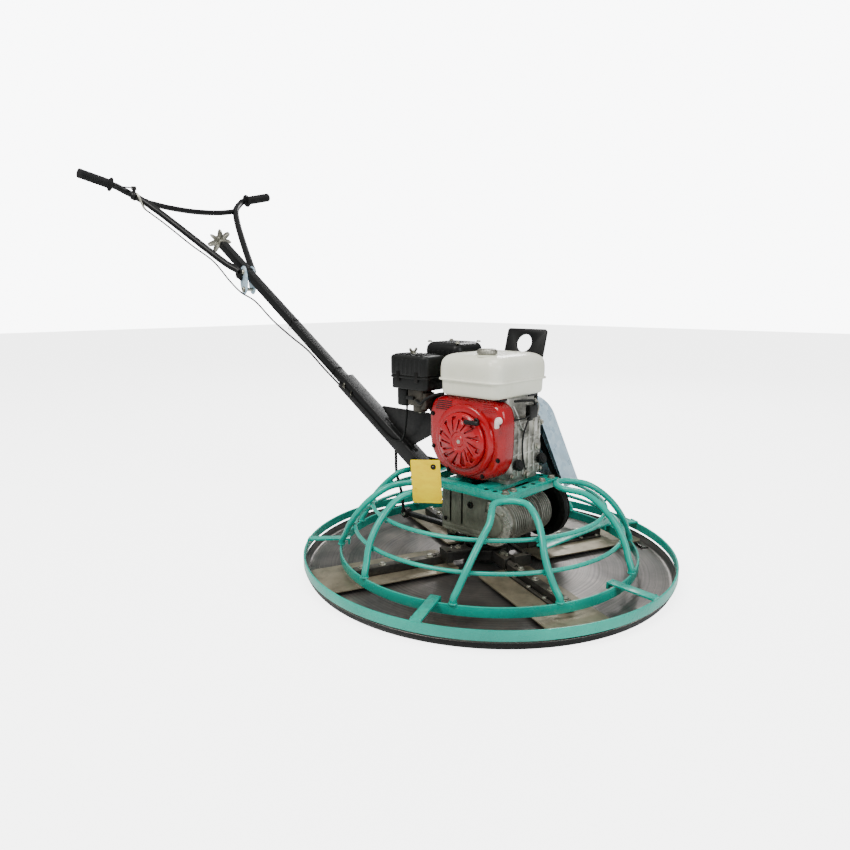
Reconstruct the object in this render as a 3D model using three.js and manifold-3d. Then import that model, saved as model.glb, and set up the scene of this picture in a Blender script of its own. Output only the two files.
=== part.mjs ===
// Walk-behind power trowel: a float pan and four blades under a round guard cage, a worm gearbox,
// a small petrol engine with a belt drive, and a long handle with a blade-pitch knob.
// Millimetres, +Z up. The origin is the centre of the pan's underside, -Y points to the operator.

import * as THREE from 'three';
import { mergeVertices } from 'three/addons/utils/BufferGeometryUtils.js';
import Module from 'manifold-3d';

const wasm = await Module();
wasm.setup();

// ---- driving dimensions -------------------------------------------------------------------

const GAP = 0.4;                      // clearance between touching pieces

const RING_R = 480;                   // outside of the guard ring
const RING_LOW = 24;
const RING_TOP = 47;
const BAND = 5;                       // thickness of the flat bands
const MID_R = 387.5;
const MID_LOW = 26;
const MID_TOP = 50;
const LOWER_ROD = { r: 346, z: 107 };
const UPPER_ROD = { r: 301, z: 165 };
const ROD_R = 5;
const LEG_R = 8;                      // hairpin tube
const LEG_TOP_Z = 221;
const LEAN_SHARE = 0.55;              // how much of its reach a hairpin takes to lean over
// each hairpin: direction, how far out its crown ends, and how far its crown leans sideways
const HAIRPINS = [
  { azimuth: 44, crown: 196, lean: 26 },
  { azimuth: 117, crown: 176, lean: 0 },
  { azimuth: 193, crown: 268, lean: 0 },
  { azimuth: 270, crown: 276, lean: 0 },
  { azimuth: 333, crown: 165, lean: 0 },
];
const STRAP_AZIMUTHS = [20, 87, 153, 236, 310];
const STRAP_WIDTH = 25;

const FRAME = { left: -118, right: 112, back: -150, front: 142, top: 228, depth: 20, bar: 30 };

const PAN_R = 478;
const PAN_RIM = 20;                   // height of the pan's turned-up edge
const BLADE = { inner: 108, outer: 455, width: 150, thick: 3, z: 11, offset: 14 };
const ARM_Z = 31;
const ARM_FIRST = -23;                // direction of the first blade, degrees
const SHAFT_R = 15;
const HUB_R = 60;

const BOX = { left: -72, right: 78, back: -97, front: 46, low: 96, top: 207 };
const WORM = { y: 62, z: 128, r: 17.5 };
const WHEEL_R = 44;
const YOKE = { y: -80, z: 76 };          // rocking axis of the pitch yoke
const YOKE_REACH = 190;
const FIN_R = 58;

const CRANK = { y: -10, z: 334 };
const BELT = { x: -161, width: 17, thick: 11 };
const GUARD = { outer: -220, inner: -139, z: 340, topR: 82, lowR: 108, sheet: 2, low: 198 };
const DRIVEN_R = 84;
const CLUTCH_R = 50;

const ENGINE = { left: -104, right: 58, base: 228.4 };
const TANK = { left: -123, right: 103, back: -95, front: 101, low: 446, seam: 484, top: 551, corner: 28 };
const FILLER = { x: 62, y: 38 };                    // neck and cap of the tank

const LIFT = { x: -133, thick: 8, bend: 500, lean: THREE.MathUtils.degToRad(16) };

const SLOPE = THREE.MathUtils.degToRad(33.6);       // handle above the horizontal
const HANDLE_START = { y: -206, z: 199 };
const SOCKET_LENGTH = 425;
const TUBE_LENGTH = 1225;
const HUB_Y = -1073;                                // hinge of the handlebar
const LEVER = { x: 212, y: -1451, z: 1073 };        // pivot of the throttle lever
const BAR_R = 12;
const GRIP_R = 17;
const TAG = { x: 216, y: -20, z: 255, azimuth: 24 };

// ---- colours --------------------------------------------------------------------------------

function paint(hex, roughness, metalness) {
  return new THREE.MeshStandardMaterial({ color: hex, roughness, metalness });
}
const TEAL = paint(0x33b5a5, 0.35, 0.1);
const BLACK = paint(0x1e201e, 0.45, 0.2);
const RED = paint(0xc81428, 0.35, 0.0);
const CREAM = paint(0xe1e4da, 0.4, 0.0);
const ALUMINIUM = paint(0xb4b4ac, 0.5, 0.8);
const CAST_GREY = paint(0x73766c, 0.6, 0.5);
const STEEL = paint(0xafa58c, 0.45, 0.8);
const DARK_STEEL = paint(0x5f5a58, 0.5, 0.7);
const GALVANISED = paint(0xc8dce8, 0.4, 0.7);
const RUBBER = paint(0x161716, 0.8, 0.0);
const YELLOW = paint(0xe1cd1e, 0.6, 0.0);
const PLASTIC = paint(0x26282a, 0.6, 0.0);

// ---- shape tools ------------------------------------------------------------------------------

const rad = THREE.MathUtils.degToRad;

function toSolid(geometry) {
  const plain = geometry.clone();
  plain.deleteAttribute('normal');
  plain.deleteAttribute('uv');
  const merged = mergeVertices(plain, 1e-4);
  const vertProperties = new Float32Array(merged.attributes.position.array);
  const triVerts = new Uint32Array(merged.index.array);
  return new wasm.Manifold(new wasm.Mesh({ numProp: 3, vertProperties, triVerts }));
}

function fromSolid(solid) {
  const mesh = solid.getMesh();
  const geometry = new THREE.BufferGeometry();
  geometry.setAttribute('position', new THREE.BufferAttribute(new Float32Array(mesh.vertProperties), 3));
  geometry.setIndex(new THREE.BufferAttribute(new Uint32Array(mesh.triVerts), 1));
  geometry.computeVertexNormals();
  return geometry;
}

function join(...geometries) {
  return fromSolid(geometries.map(toSolid).reduce((a, b) => a.add(b)));
}

function cut(geometry, ...tools) {
  return fromSolid(tools.map(toSolid).reduce((a, b) => a.subtract(b), toSolid(geometry)));
}

function block(x0, x1, y0, y1, z0, z1) {
  const shape = new THREE.BoxGeometry(x1 - x0, y1 - y0, z1 - z0);
  return shape.translate((x0 + x1) / 2, (y0 + y1) / 2, (z0 + z1) / 2);
}

// a cylinder between two heights on a Z axis
function postZ(radius, z0, z1, x = 0, y = 0, sides = 24) {
  const shape = new THREE.CylinderGeometry(radius, radius, z1 - z0, sides).rotateX(Math.PI / 2);
  return shape.translate(x, y, (z0 + z1) / 2);
}

function rodX(radius, x0, x1, y, z, sides = 24) {
  const shape = new THREE.CylinderGeometry(radius, radius, x1 - x0, sides).rotateZ(Math.PI / 2);
  return shape.translate((x0 + x1) / 2, y, z);
}

function rodY(radius, y0, y1, x, z, sides = 16) {
  const shape = new THREE.CylinderGeometry(radius, radius, y1 - y0, sides);
  return shape.translate(x, (y0 + y1) / 2, z);
}

// profile of [radius, height] pairs turned about Z
function turnZ(profile, segments = 32) {
  const points = profile.map(([r, h]) => new THREE.Vector2(r, h));
  return new THREE.LatheGeometry(points, segments).rotateX(Math.PI / 2);
}

// profile of [radius, x] pairs turned about an axis along X
function turnX(profile, y, z, segments = 32) {
  return turnZ(profile, segments).rotateY(Math.PI / 2).translate(0, y, z);
}

function ringProfile(inner, outer, low, top) {
  return [[inner, low], [outer, low], [outer, top], [inner, top], [inner, low]];
}

function outline(points) {
  return new THREE.Shape(points.map(([x, y]) => new THREE.Vector2(x, y)));
}

function roundedOutline(x0, x1, y0, y1, corner) {
  const shape = new THREE.Shape();
  shape.moveTo(x0 + corner, y0);
  shape.lineTo(x1 - corner, y0);
  shape.absarc(x1 - corner, y0 + corner, corner, -Math.PI / 2, 0);
  shape.lineTo(x1, y1 - corner);
  shape.absarc(x1 - corner, y1 - corner, corner, 0, Math.PI / 2);
  shape.lineTo(x0 + corner, y1);
  shape.absarc(x0 + corner, y1 - corner, corner, Math.PI / 2, Math.PI);
  shape.lineTo(x0, y0 + corner);
  shape.absarc(x0 + corner, y0 + corner, corner, Math.PI, 1.5 * Math.PI);
  return shape;
}

function plate(shape, thickness, bevel = 0, curveSegments = 3) {
  const settings = { depth: thickness - 2 * bevel, bevelEnabled: bevel > 0, curveSegments };
  if (bevel > 0) {
    settings.bevelSize = bevel;
    settings.bevelThickness = bevel;
    settings.bevelOffset = -bevel;
    settings.bevelSegments = 1;
  }
  return new THREE.ExtrudeGeometry(shape, settings).translate(0, 0, bevel);
}

// a plate drawn in the YZ plane and thick along +X from x0
function plateX(shape, x0, thickness, bevel = 0, curveSegments = 3) {
  const turned = plate(shape, thickness, bevel, curveSegments).rotateX(Math.PI / 2).rotateZ(Math.PI / 2);
  return turned.translate(x0, 0, 0);
}

function roundSection(radius, sides) {
  const points = [];
  for (let i = 0; i < sides; i += 1) {
    const angle = (2 * Math.PI * i) / sides;
    points.push([radius * Math.cos(angle), radius * Math.sin(angle)]);
  }
  return outline(points);
}

// a round tube through a list of points, smooth through every point
function smoothTube(points, radius, steps, sides = 8) {
  const path = new THREE.CatmullRomCurve3(points.map((p) => new THREE.Vector3(...p)), false, 'centripetal');
  return new THREE.ExtrudeGeometry(roundSection(radius, sides), { steps, extrudePath: path });
}

function placeAt(geometry, azimuth) {
  return geometry.rotateZ(rad(azimuth));
}

// moves a shape drawn along +Y at the origin onto the handle, where +Y runs up the handle
function onHandle(geometry) {
  return geometry.rotateX(SLOPE).rotateZ(Math.PI).translate(0, HANDLE_START.y, HANDLE_START.z);
}

const machine = new THREE.Group();

function add(name, geometry, material) {
  const mesh = new THREE.Mesh(geometry, material);
  mesh.name = name;
  machine.add(mesh);
  return mesh;
}

// ---- guard cage ---------------------------------------------------------------------------------

function bandRing(outer, low, top) {
  return turnZ(ringProfile(outer - BAND, outer, low, top), 48);
}

function rodRing(rod) {
  return new THREE.TorusGeometry(rod.r, ROD_R, 6, 42).translate(0, 0, rod.z);
}

// one bent tube, drawn along +X: up from the middle band, over the rods and round its crown
function hairpinTube(crown, lean) {
  const foot = 366;
  const side = [
    [foot, 114, MID_TOP + 9],
    [358, 103, 80],
    [349, 90, 110],
    [332, 77, 142],
    [309, 66, 172],
    [280, 54, 198],
    [248, 46, 215],
  ];
  const long = [...side, [crown + 22, 38, LEG_TOP_Z], [crown + 6, 22, LEG_TOP_Z + 1]];
  const short = [...side.slice(0, 5), [crown + 15, 42, 192], [crown + 4, 22, 199]];
  const half = crown < 240 ? long : short;
  const leanAt = (x) => {
    const part = Math.min(1, (foot - x) / (LEAN_SHARE * (foot - crown)));
    return lean * part * part * (3 - 2 * part);
  };
  const nearSide = half.map(([x, y, z]) => [x, y + leanAt(x), z]);
  const farSide = half.map(([x, y, z]) => [x, -y + leanAt(x), z]).reverse();
  const top = half[half.length - 1][2];
  return smoothTube([...nearSide, [crown, lean, top], ...farSide], LEG_R, 30, 6);
}

// flat strap welded on the outer band and laid over the middle band, its inner end turned down
function strap() {
  const side = outline([
    [RING_R - 1, RING_TOP - 1],
    [RING_R - 1, RING_TOP + 5.4],
    [364, MID_TOP + 6.2],
    [364, 38],
    [369, 38],
    [369, MID_TOP + 1.1],
  ]);
  return plate(side, STRAP_WIDTH).rotateX(Math.PI / 2).translate(0, STRAP_WIDTH / 2, 0);
}

function cage() {
  const straps = STRAP_AZIMUTHS.map((azimuth) => placeAt(strap(), azimuth));
  add('outer_guard_ring', join(bandRing(RING_R, RING_LOW, RING_TOP), ...straps), TEAL);
  add('middle_guard_ring', bandRing(MID_R, MID_LOW, MID_TOP), TEAL);
  add('lower_rod_ring', rodRing(LOWER_ROD), TEAL);
  add('upper_rod_ring', rodRing(UPPER_ROD), TEAL);
  HAIRPINS.forEach(({ azimuth, crown, lean }, i) => {
    add(`hairpin_leg_${i + 1}`, placeAt(hairpinTube(crown, lean), azimuth), TEAL);
  });
}

// flat brace between the legs of two hairpins
function sideBrace() {
  const from = new THREE.Vector3(140, 259, 143);
  const to = new THREE.Vector3(-200, 257, 122);
  const along = to.clone().sub(from);
  const bar = new THREE.BoxGeometry(along.length(), 28, 5);
  bar.rotateY(Math.asin(-along.z / along.length())).rotateZ(Math.atan2(along.y, along.x));
  const middle = from.clone().add(to).multiplyScalar(0.5);
  add('side_brace', bar.translate(middle.x, middle.y, middle.z), TEAL);
}

function mountFrame() {
  const { left, right, back, front, top, depth, bar } = FRAME;
  const low = top - depth;
  const rails = [
    block(left, left + bar, back, front, low, top),
    block(right - bar, right, back, front, low, top),
    block(left, right, back, back + bar, low, top),
    block(left, right, front - bar, front, low, top),
    block(left, right, -72, -36, low, top),
    block(left, right, 28, 64, low, top),
  ];
  add('mount_frame', join(...rails), TEAL);
}

// ---- rotor ----------------------------------------------------------------------------------------

function floatPan() {
  const profile = [
    [0, 0], [468, 0], [PAN_R, PAN_RIM - 0.4], [PAN_R - 3, PAN_RIM], [466, 3], [0, 3],
  ];
  add('float_pan', turnZ(profile, 48), DARK_STEEL);
}

function spider() {
  const hub = postZ(HUB_R, 18, 46, 0, 0, 24);
  const bosses = [];
  const bores = [postZ(SHAFT_R + GAP, 10, 70, 0, 0, 16)];
  for (let i = 0; i < 4; i += 1) {
    const azimuth = ARM_FIRST + 90 * i;
    bosses.push(placeAt(block(40, 118, -17, 17, ARM_Z - 13, ARM_Z + 15), azimuth));
    bores.push(placeAt(rodX(10.4, 66, 130, 0, ARM_Z, 12), azimuth));
  }
  add('spider', cut(join(hub, ...bosses), ...bores), BLACK);
}

// one trowel arm, drawn along +X, with the lever that the pressure plate pushes
function trowelArm() {
  const shaft = rodX(10, 70, 150, 0, ARM_Z, 12);
  const beam = block(120, 370, -12, 12, BLADE.z + BLADE.thick + GAP, ARM_Z + 5);
  const lever = block(122, 140, 0, 48, 28, 57.6);
  const finger = block(22, 140, 36, 48, 51, 57.6);
  return join(shaft, beam, lever, finger);
}

function trowelBlade() {
  const { inner, outer, width, thick, z, offset } = BLADE;
  const shape = roundedOutline(inner, outer, -width / 2 - offset, width / 2 - offset, 14);
  return plate(shape, thick, 0, 2).translate(0, 0, z);
}

function rotor() {
  floatPan();
  add('main_shaft', turnZ([[0, 4], [SHAFT_R, 4], [SHAFT_R, 192], [0, 192]], 20), STEEL);
  spider();
  const plateSection = [[16, 58.2], [52, 58.2], [52, 63], [30, 63], [30, 67], [16, 67], [16, 58.2]];
  add('pressure_plate', turnZ(plateSection, 24), DARK_STEEL);
  for (let i = 0; i < 4; i += 1) {
    const azimuth = ARM_FIRST + 90 * i;
    add(`trowel_arm_${i + 1}`, placeAt(trowelArm(), azimuth), CAST_GREY);
    add(`trowel_blade_${i + 1}`, placeAt(trowelBlade(), azimuth), STEEL);
  }
}

// ---- gearbox ------------------------------------------------------------------------------------------

function gearboxHousing() {
  const { left, right, back, front, low, top } = BOX;
  const body = plate(roundedOutline(left, right, back, front, 16), top - low, 3).translate(0, 0, low);
  const wheelRoom = postZ(52, low - 1, 168, 0, 0, 24);
  const wormRoom = rodX(25, -60, 66, WORM.y, WORM.z, 20);
  const shaftBore = postZ(20.5, 150, 195);
  return cut(body, wheelRoom, wormRoom, shaftBore);
}

function finProfile(x0, x1) {
  const fins = 6;
  const pitch = (x1 - x0) / fins;
  const profile = [[22, x0], [FIN_R, x0]];
  for (let i = 0; i < fins; i += 1) {
    const start = x0 + i * pitch;
    profile.push([FIN_R, start + pitch * 0.4]);
    if (i < fins - 1) {
      profile.push([49, start + pitch * 0.5], [49, start + pitch * 0.9], [FIN_R, start + pitch]);
    }
  }
  profile.push([FIN_R, x1], [22, x1], [22, x0]);
  return profile;
}

function inputHousing() {
  const { left, right, back, front, low, top } = BOX;
  const barrel = turnX(finProfile(-128, 62), WORM.y, WORM.z, 20);
  const boxRoom = block(left - GAP, right + GAP, back, front + GAP, low - GAP - 12, top + GAP);
  const wheelRoom = postZ(52, low - 1, 168, 0, 0, 24);
  const endCap = rodX(34, 60, 71, WORM.y, WORM.z, 28);
  return join(cut(barrel, boxRoom, wheelRoom), cut(endCap, boxRoom));
}

// the bottom plate, with two lugs and the pin that the pitch yoke rocks on
function gearboxCover() {
  const { left, right, back, front, low } = BOX;
  const base = plate(roundedOutline(left, right, back, front, 16), 8).translate(0, 0, low - GAP - 8);
  const lugs = [-1, 1].map((side) => block(side * 44 - 6, side * 44 + 6, -92, -68, 65, low - GAP - 7.5));
  const pin = rodX(5, -50, 50, YOKE.y, YOKE.z, 12);
  const tray = cut(join(base, ...lugs), postZ(20.5, low - 20, low + 1));
  return join(tray, pin);
}

function wormWheel() {
  const teeth = 20;
  const points = [];
  for (let i = 0; i < teeth * 4; i += 1) {
    const angle = (2 * Math.PI * i) / (teeth * 4);
    const radius = i % 4 < 2 ? WHEEL_R : WHEEL_R - 4;
    points.push([radius * Math.cos(angle), radius * Math.sin(angle)]);
  }
  const wheel = plate(outline(points), 24).translate(0, 0, WORM.z - 12);
  return cut(wheel, postZ(SHAFT_R + GAP, 100, 150));
}

function wormShaft() {
  const thread = [];
  for (let x = -36; x < 30; x += 16) {
    thread.push([13, x], [WORM.r, x + 4], [WORM.r, x + 9], [13, x + 13]);
  }
  const profile = [[0, -186], [12, -186], [12, -44], [13, -40], ...thread, [13, 38], [12, 42], [12, 60], [0, 60]];
  return turnX(profile, WORM.y, WORM.z, 14);
}

function yoke() {
  const { y, z } = YOKE;
  const tipY = y - YOKE_REACH;
  const lever = block(20, 35, tipY, y, z - 6, z + 6);
  const knuckle = rodX(10, -37, 37, y, z, 16);
  const tines = [-1, 1].map((side) => block(side * 24 - 4, side * 24 + 4, y, 12, z - 8.4, z + 1));
  const eye = rodX(14, 18, 37, tipY, z, 16);
  const solid = join(lever, knuckle, eye, ...tines);
  return cut(solid, rodX(5.4, -60, 60, y, z, 12), rodX(4.4, 10, 60, tipY, z, 10));
}

function gearbox() {
  add('gearbox_housing', gearboxHousing(), CAST_GREY);
  add('gearbox_cover', gearboxCover(), CAST_GREY);
  add('input_housing', inputHousing(), ALUMINIUM);
  add('worm_wheel', wormWheel(), STEEL);
  add('worm_shaft', wormShaft(), STEEL);
  add('shaft_bearing', turnZ(ringProfile(SHAFT_R + GAP, 20.1, 172, 190), 20), STEEL);
  add('pitch_yoke', yoke(), BLACK);
}

// ---- belt drive ---------------------------------------------------------------------------------------------

function pulleyProfile(radius, bore, depth) {
  const half = BELT.width / 2 + 0.6;
  return [
    [bore, -half - 4], [radius, -half - 4], [radius, -half - 1], [radius - depth, -half + 1.5],
    [radius - depth, half - 1.5], [radius, half + 1], [radius, half + 4], [bore, half + 4], [bore, -half - 4],
  ];
}

function pulley(radius, bore, place) {
  return turnX(pulleyProfile(radius, bore, 14), place.y, place.z, 28).translate(BELT.x, 0, 0);
}

// the outline round two circles in the YZ plane, with straight sides between them
function loopOutline(big, bigR, small, smallR, Kind) {
  const along = Math.atan2(small.z - big.z, small.y - big.y);
  const distance = Math.hypot(small.z - big.z, small.y - big.y);
  const open = Math.acos((bigR - smallR) / distance);
  const shape = new Kind();
  shape.absarc(small.y, small.z, smallR, along - open, along + open);
  shape.absarc(big.y, big.z, bigR, along + open, along - open + 2 * Math.PI);
  return shape;
}

function belt() {
  const outside = loopOutline(WORM, DRIVEN_R - 0.5, CRANK, CLUTCH_R - 0.5, THREE.Shape);
  const inside = loopOutline(WORM, DRIVEN_R - BELT.thick, CRANK, CLUTCH_R - BELT.thick, THREE.Path);
  outside.holes.push(inside);
  return plateX(outside, BELT.x - BELT.width / 2 + 1.4, BELT.width - 2.8, 0, 10);
}

// a sheet cover open below and towards the engine
function beltGuard() {
  const { outer, inner, topR, lowR, sheet, low } = GUARD;
  const crown = { y: CRANK.y, z: GUARD.z };
  const outside = loopOutline(WORM, lowR, crown, topR, THREE.Shape);
  const inside = loopOutline(WORM, lowR - sheet, crown, topR - sheet, THREE.Shape);
  const shell = plateX(outside, outer, inner - outer, 0, 10);
  const room = plateX(inside, outer + sheet, inner - outer, 0, 10);
  const below = block(outer - 10, inner + 10, -200, 240, -100, low);
  return cut(shell, room, below);
}

function beltDrive() {
  add('driven_pulley', pulley(DRIVEN_R, 12.4, WORM), BLACK);
  add('clutch_pulley', pulley(CLUTCH_R, 13.4, CRANK), DARK_STEEL);
  add('v_belt', belt(), RUBBER);
  add('belt_guard', beltGuard(), GALVANISED);
}

// ---- engine ---------------------------------------------------------------------------------------------------

function crankcase() {
  const { left, right, base } = ENGINE;
  const feet = block(left + 4, 34, -88, 88, base, base + 12);
  const body = plate(roundedOutline(left, 36, -82, 95, 14), 150).translate(0, 0, base + 10);
  const upper = block(left + 10, 30, -70, 78, base + 155, TANK.low - GAP);
  const sideCover = rodX(74, left - 6, left + 10, CRANK.y, CRANK.z, 24);
  const ribs = [];
  for (let i = 0; i < 5; i += 1) {
    ribs.push(block(left + 16 + i * 23, left + 22 + i * 23, 70, 99, base + 20, base + 150));
  }
  const solid = join(feet, body, upper, sideCover, ...ribs);
  const crankBore = rodX(14, left - 20, right + 10, CRANK.y, CRANK.z, 16);
  const crankRoom = rodX(50, left + 20, 20, CRANK.y, CRANK.z, 16);
  return cut(solid, crankBore, crankRoom);
}

function cylinderHead() {
  const fins = [];
  const block0 = block(-78, 30, -176, -86, 318, 396);
  for (let i = 0; i < 6; i += 1) {
    fins.push(block(-84, 34, -170 + i * 14, -164 + i * 14, 312, 404));
  }
  return join(block0, ...fins);
}

function fanCoverOutline() {
  return outline([
    [-134, 304], [-108, 262], [-56, 236], [36, 236], [84, 258], [104, 296],
    [106, 396], [96, 428], [60, 441], [-90, 441], [-124, 428], [-136, 396],
  ]);
}

function fanCover() {
  const shell = plateX(fanCoverOutline(), ENGINE.right + GAP - 22, 44, 6);
  const dome = turnX([[0, 60], [92, 60], [92, 84], [84, 91], [0, 91]], CRANK.y - 3, CRANK.z + 2, 28);
  const room = rodX(80, ENGINE.right - 26, ENGINE.right + 22, CRANK.y - 3, CRANK.z + 2, 24);
  const doorway = rodX(80, 20, ENGINE.right + 4, CRANK.y - 3, CRANK.z + 2, 24);
  return cut(join(shell, dome), room, doorway);
}

function recoilCover() {
  const disc = turnX([[0, 91 + GAP], [72, 91 + GAP], [72, 98], [58, 107], [0, 107]], CRANK.y - 3, CRANK.z + 2, 28);
  const ropeNotch = block(88, 112, 20, 44, 380, 400);
  return cut(disc, ropeNotch);
}

function flywheel() {
  const disc = turnX(ringProfile(13.4, 70, 44, 52), CRANK.y, CRANK.z, 20);
  const vanes = [];
  for (let i = 0; i < 10; i += 1) {
    const vane = block(51, 66, 34, 66, -1.6, 1.6).rotateX((2 * Math.PI * i) / 10);
    vanes.push(vane.translate(0, CRANK.y, CRANK.z));
  }
  return join(disc, ...vanes);
}

function crankshaft() {
  const profile = [
    [0, -182], [13, -182], [13, -60], [28, -60], [28, -40], [13, -40], [13, 70], [0, 70],
  ];
  return turnX(profile, CRANK.y, CRANK.z, 16);
}

function fuelTank() {
  const { left, right, back, front, low, seam, top, corner } = TANK;
  const lower = plate(roundedOutline(left + 8, right - 8, back + 8, front - 8, corner), seam - low + 4, 4);
  const flange = plate(roundedOutline(left - 1, right + 1, back - 1, front + 1, corner + 2), 4);
  const upper = plate(roundedOutline(left + 2, right - 2, back + 2, front - 2, corner), top - seam, 14);
  const neck = postZ(19, top - 4, top + 2, FILLER.x, FILLER.y, 24);
  const shell = join(lower.translate(0, 0, low), flange.translate(0, 0, seam), upper.translate(0, 0, seam + 1), neck);
  const inset = 14;
  const inside = roundedOutline(left + inset, right - inset, back + inset, front - inset, corner - 6);
  const room = plate(inside, top - low - 12).translate(0, 0, low + 4);
  return cut(shell, room, postZ(15, top - 20, top + 3, FILLER.x, FILLER.y, 20));
}

function fuelCap() {
  const rim = turnZ([[0, 0], [25, 0], [25, 9], [20, 13], [0, 13]], 20);
  return rim.translate(FILLER.x, FILLER.y, TANK.top + 2 + GAP);
}

function airCleaner() {
  const base = plate(roundedOutline(18, 96, -262, -132, 14), 30, 3).translate(0, 0, 448);
  const lid = plate(roundedOutline(15, 99, -265, -129, 16), 62, 8).translate(0, 0, 476);
  const knob = join(postZ(6, 530, 550, 56, -214, 12), block(40, 72, -217, -211, 540, 556));
  return join(base, lid, knob);
}

function carburetor() {
  const bowl = postZ(20, 386, 410, 58, -186, 20);
  const body = block(36, 84, -212, -160, 404, 447.6);
  const flange = block(38, 78, -168, -150, 396, 440);
  return join(bowl, body, flange);
}

// the silencer box and the short elbow that carries it on the cylinder head
function muffler() {
  const can = plate(roundedOutline(-98, -4, -212, -106, 20), 84, 8).translate(0, 0, 452);
  return join(can, block(-62, -30, -158, -124, 404.6, 460));
}

function mufflerGuard() {
  const shell = plate(roundedOutline(-106, 8, -222, -97, 22), 80, 6).translate(0, 0, 488);
  const room = plate(roundedOutline(-100, -1, -215, -103, 20), 80).translate(0, 0, 470);
  return cut(shell, room);
}

function engine() {
  add('crankcase', crankcase(), ALUMINIUM);
  add('cylinder_head', cylinderHead(), ALUMINIUM);
  add('fan_cover', fanCover(), RED);
  add('recoil_cover', recoilCover(), RED);
  add('flywheel', flywheel(), ALUMINIUM);
  add('crankshaft', crankshaft(), STEEL);
  add('fuel_tank', fuelTank(), CREAM);
  add('fuel_cap', fuelCap(), CAST_GREY);
  add('air_cleaner', airCleaner(), PLASTIC);
  add('carburetor', carburetor(), ALUMINIUM);
  add('muffler', muffler(), DARK_STEEL);
  add('muffler_guard', mufflerGuard(), BLACK);
  add('choke_lever', join(rodX(5, 84.4, 92, -186, 426, 12), block(88, 94, -206, -180, 421, 431)), BLACK);
  add('engine_switch', join(rodX(9, 80.6, 88, 92, 398, 16), block(84, 96, 88, 96, 380, 402)), CREAM);
  add('recoil_grip', join(rodX(5, 100, 112, 32, 390, 12), block(107.6, 119, 10, 54, 382, 398)), BLACK);
}

// ---- lifting plate and handle -------------------------------------------------------------------------------

// an upright strip whose wide top is bent outwards and has the lifting hole
function liftPlate() {
  const { x, thick, bend, lean } = LIFT;
  const strip = block(x, x + thick, 26, 60, FRAME.top + GAP, bend + 1);
  const side = outline([[26, -1], [60, -1], [66, 40], [66, 108], [-56, 108], [-56, 26]]);
  const top = cut(plateX(side, 0, thick), rodX(24, -10, thick + 10, 2, 69, 28));
  return join(strip, top.rotateY(-lean).translate(x, 0, bend));
}

// the thick lower tube, with its gusset plate and the forked foot that is bolted to the mount frame
function handleSocket() {
  const length = SOCKET_LENGTH;
  const tube = onHandle(block(-22, 22, 0, length, -22, 22));
  const room = onHandle(block(-17, 17, -1, length + 1, -17, 17));
  const edge = outline([[-392, 372], [-196, 372], [-196, 312], [-288, 260]]);
  const gusset = plateX(edge, -4, 8);
  const cheeks = [-1, 1].map((side) => block(side * 24.5 - 3.5, side * 24.5 + 3.5, -252, -152, 182, 240));
  const foot = block(-28, 28, -156, -150 - GAP, 182, 240);
  return cut(join(tube, gusset, foot, ...cheeks), room);
}

function handleTube() {
  const tube = block(-14, 14, 30, TUBE_LENGTH, -14, 14);
  const room = block(-11, 11, 29, TUBE_LENGTH + 1, -11, 11);
  const bolt = rodX(6.4, -30, 30, 0, 0, 16).translate(0, hubAlong(), 0);
  return onHandle(cut(tube, room, bolt));
}

// how far up the handle the hinge bolt of the handlebar sits
function hubAlong() {
  return (HANDLE_START.y - HUB_Y) / Math.cos(SLOPE);
}

// the point on the handle's centre line under the hinge bolt
function hubHeight() {
  return HANDLE_START.z + hubAlong() * Math.sin(SLOPE);
}

function starKnob() {
  const lobes = 7;
  const points = [];
  for (let i = 0; i < lobes * 4; i += 1) {
    const angle = (2 * Math.PI * i) / (lobes * 4);
    const radius = 36 + 11 * Math.cos(lobes * angle);
    points.push([radius * Math.cos(angle), radius * Math.sin(angle)]);
  }
  const star = plate(outline(points), 20).rotateX(Math.PI / 2).translate(0, TUBE_LENGTH + 36, 0);
  const boss = rodY(13, TUBE_LENGTH + GAP, TUBE_LENGTH + 24, 0, 0, 12);
  const screw = rodY(6, TUBE_LENGTH - 170, TUBE_LENGTH + 12, 0, 0, 12);
  return onHandle(join(star, boss, screw));
}

// ---- handlebar --------------------------------------------------------------------------------------------------

const BAR_POINTS = {
  low: [31, -1090, 782],
  knee: [48, -1128, 803],
  top: [187, -1429, 1027],
  shoulder: [240, -1477, 1066],
  bend: [258, -1487, 1077],
  gripStart: [272, -1489, 1081],
  gripEnd: [377, -1490, 1106],
};

function barSide(side) {
  const mirrored = Object.values(BAR_POINTS).map(([x, y, z]) => [side * x, y, z]);
  return smoothTube(mirrored, BAR_R, 20, 6);
}

// both legs and the bowed crossbar, welded into one bar
function handlebar() {
  const [x, y, z] = BAR_POINTS.top;
  const crossPoints = [
    [x, y, z],
    [x * 0.55, y + 14, z - 14],
    [0, y + 20, z - 20],
    [-x * 0.55, y + 14, z - 14],
    [-x, y, z],
  ];
  const crossbar = smoothTube(crossPoints, 10, 10, 6);
  return join(barSide(1), barSide(-1), crossbar);
}

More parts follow.
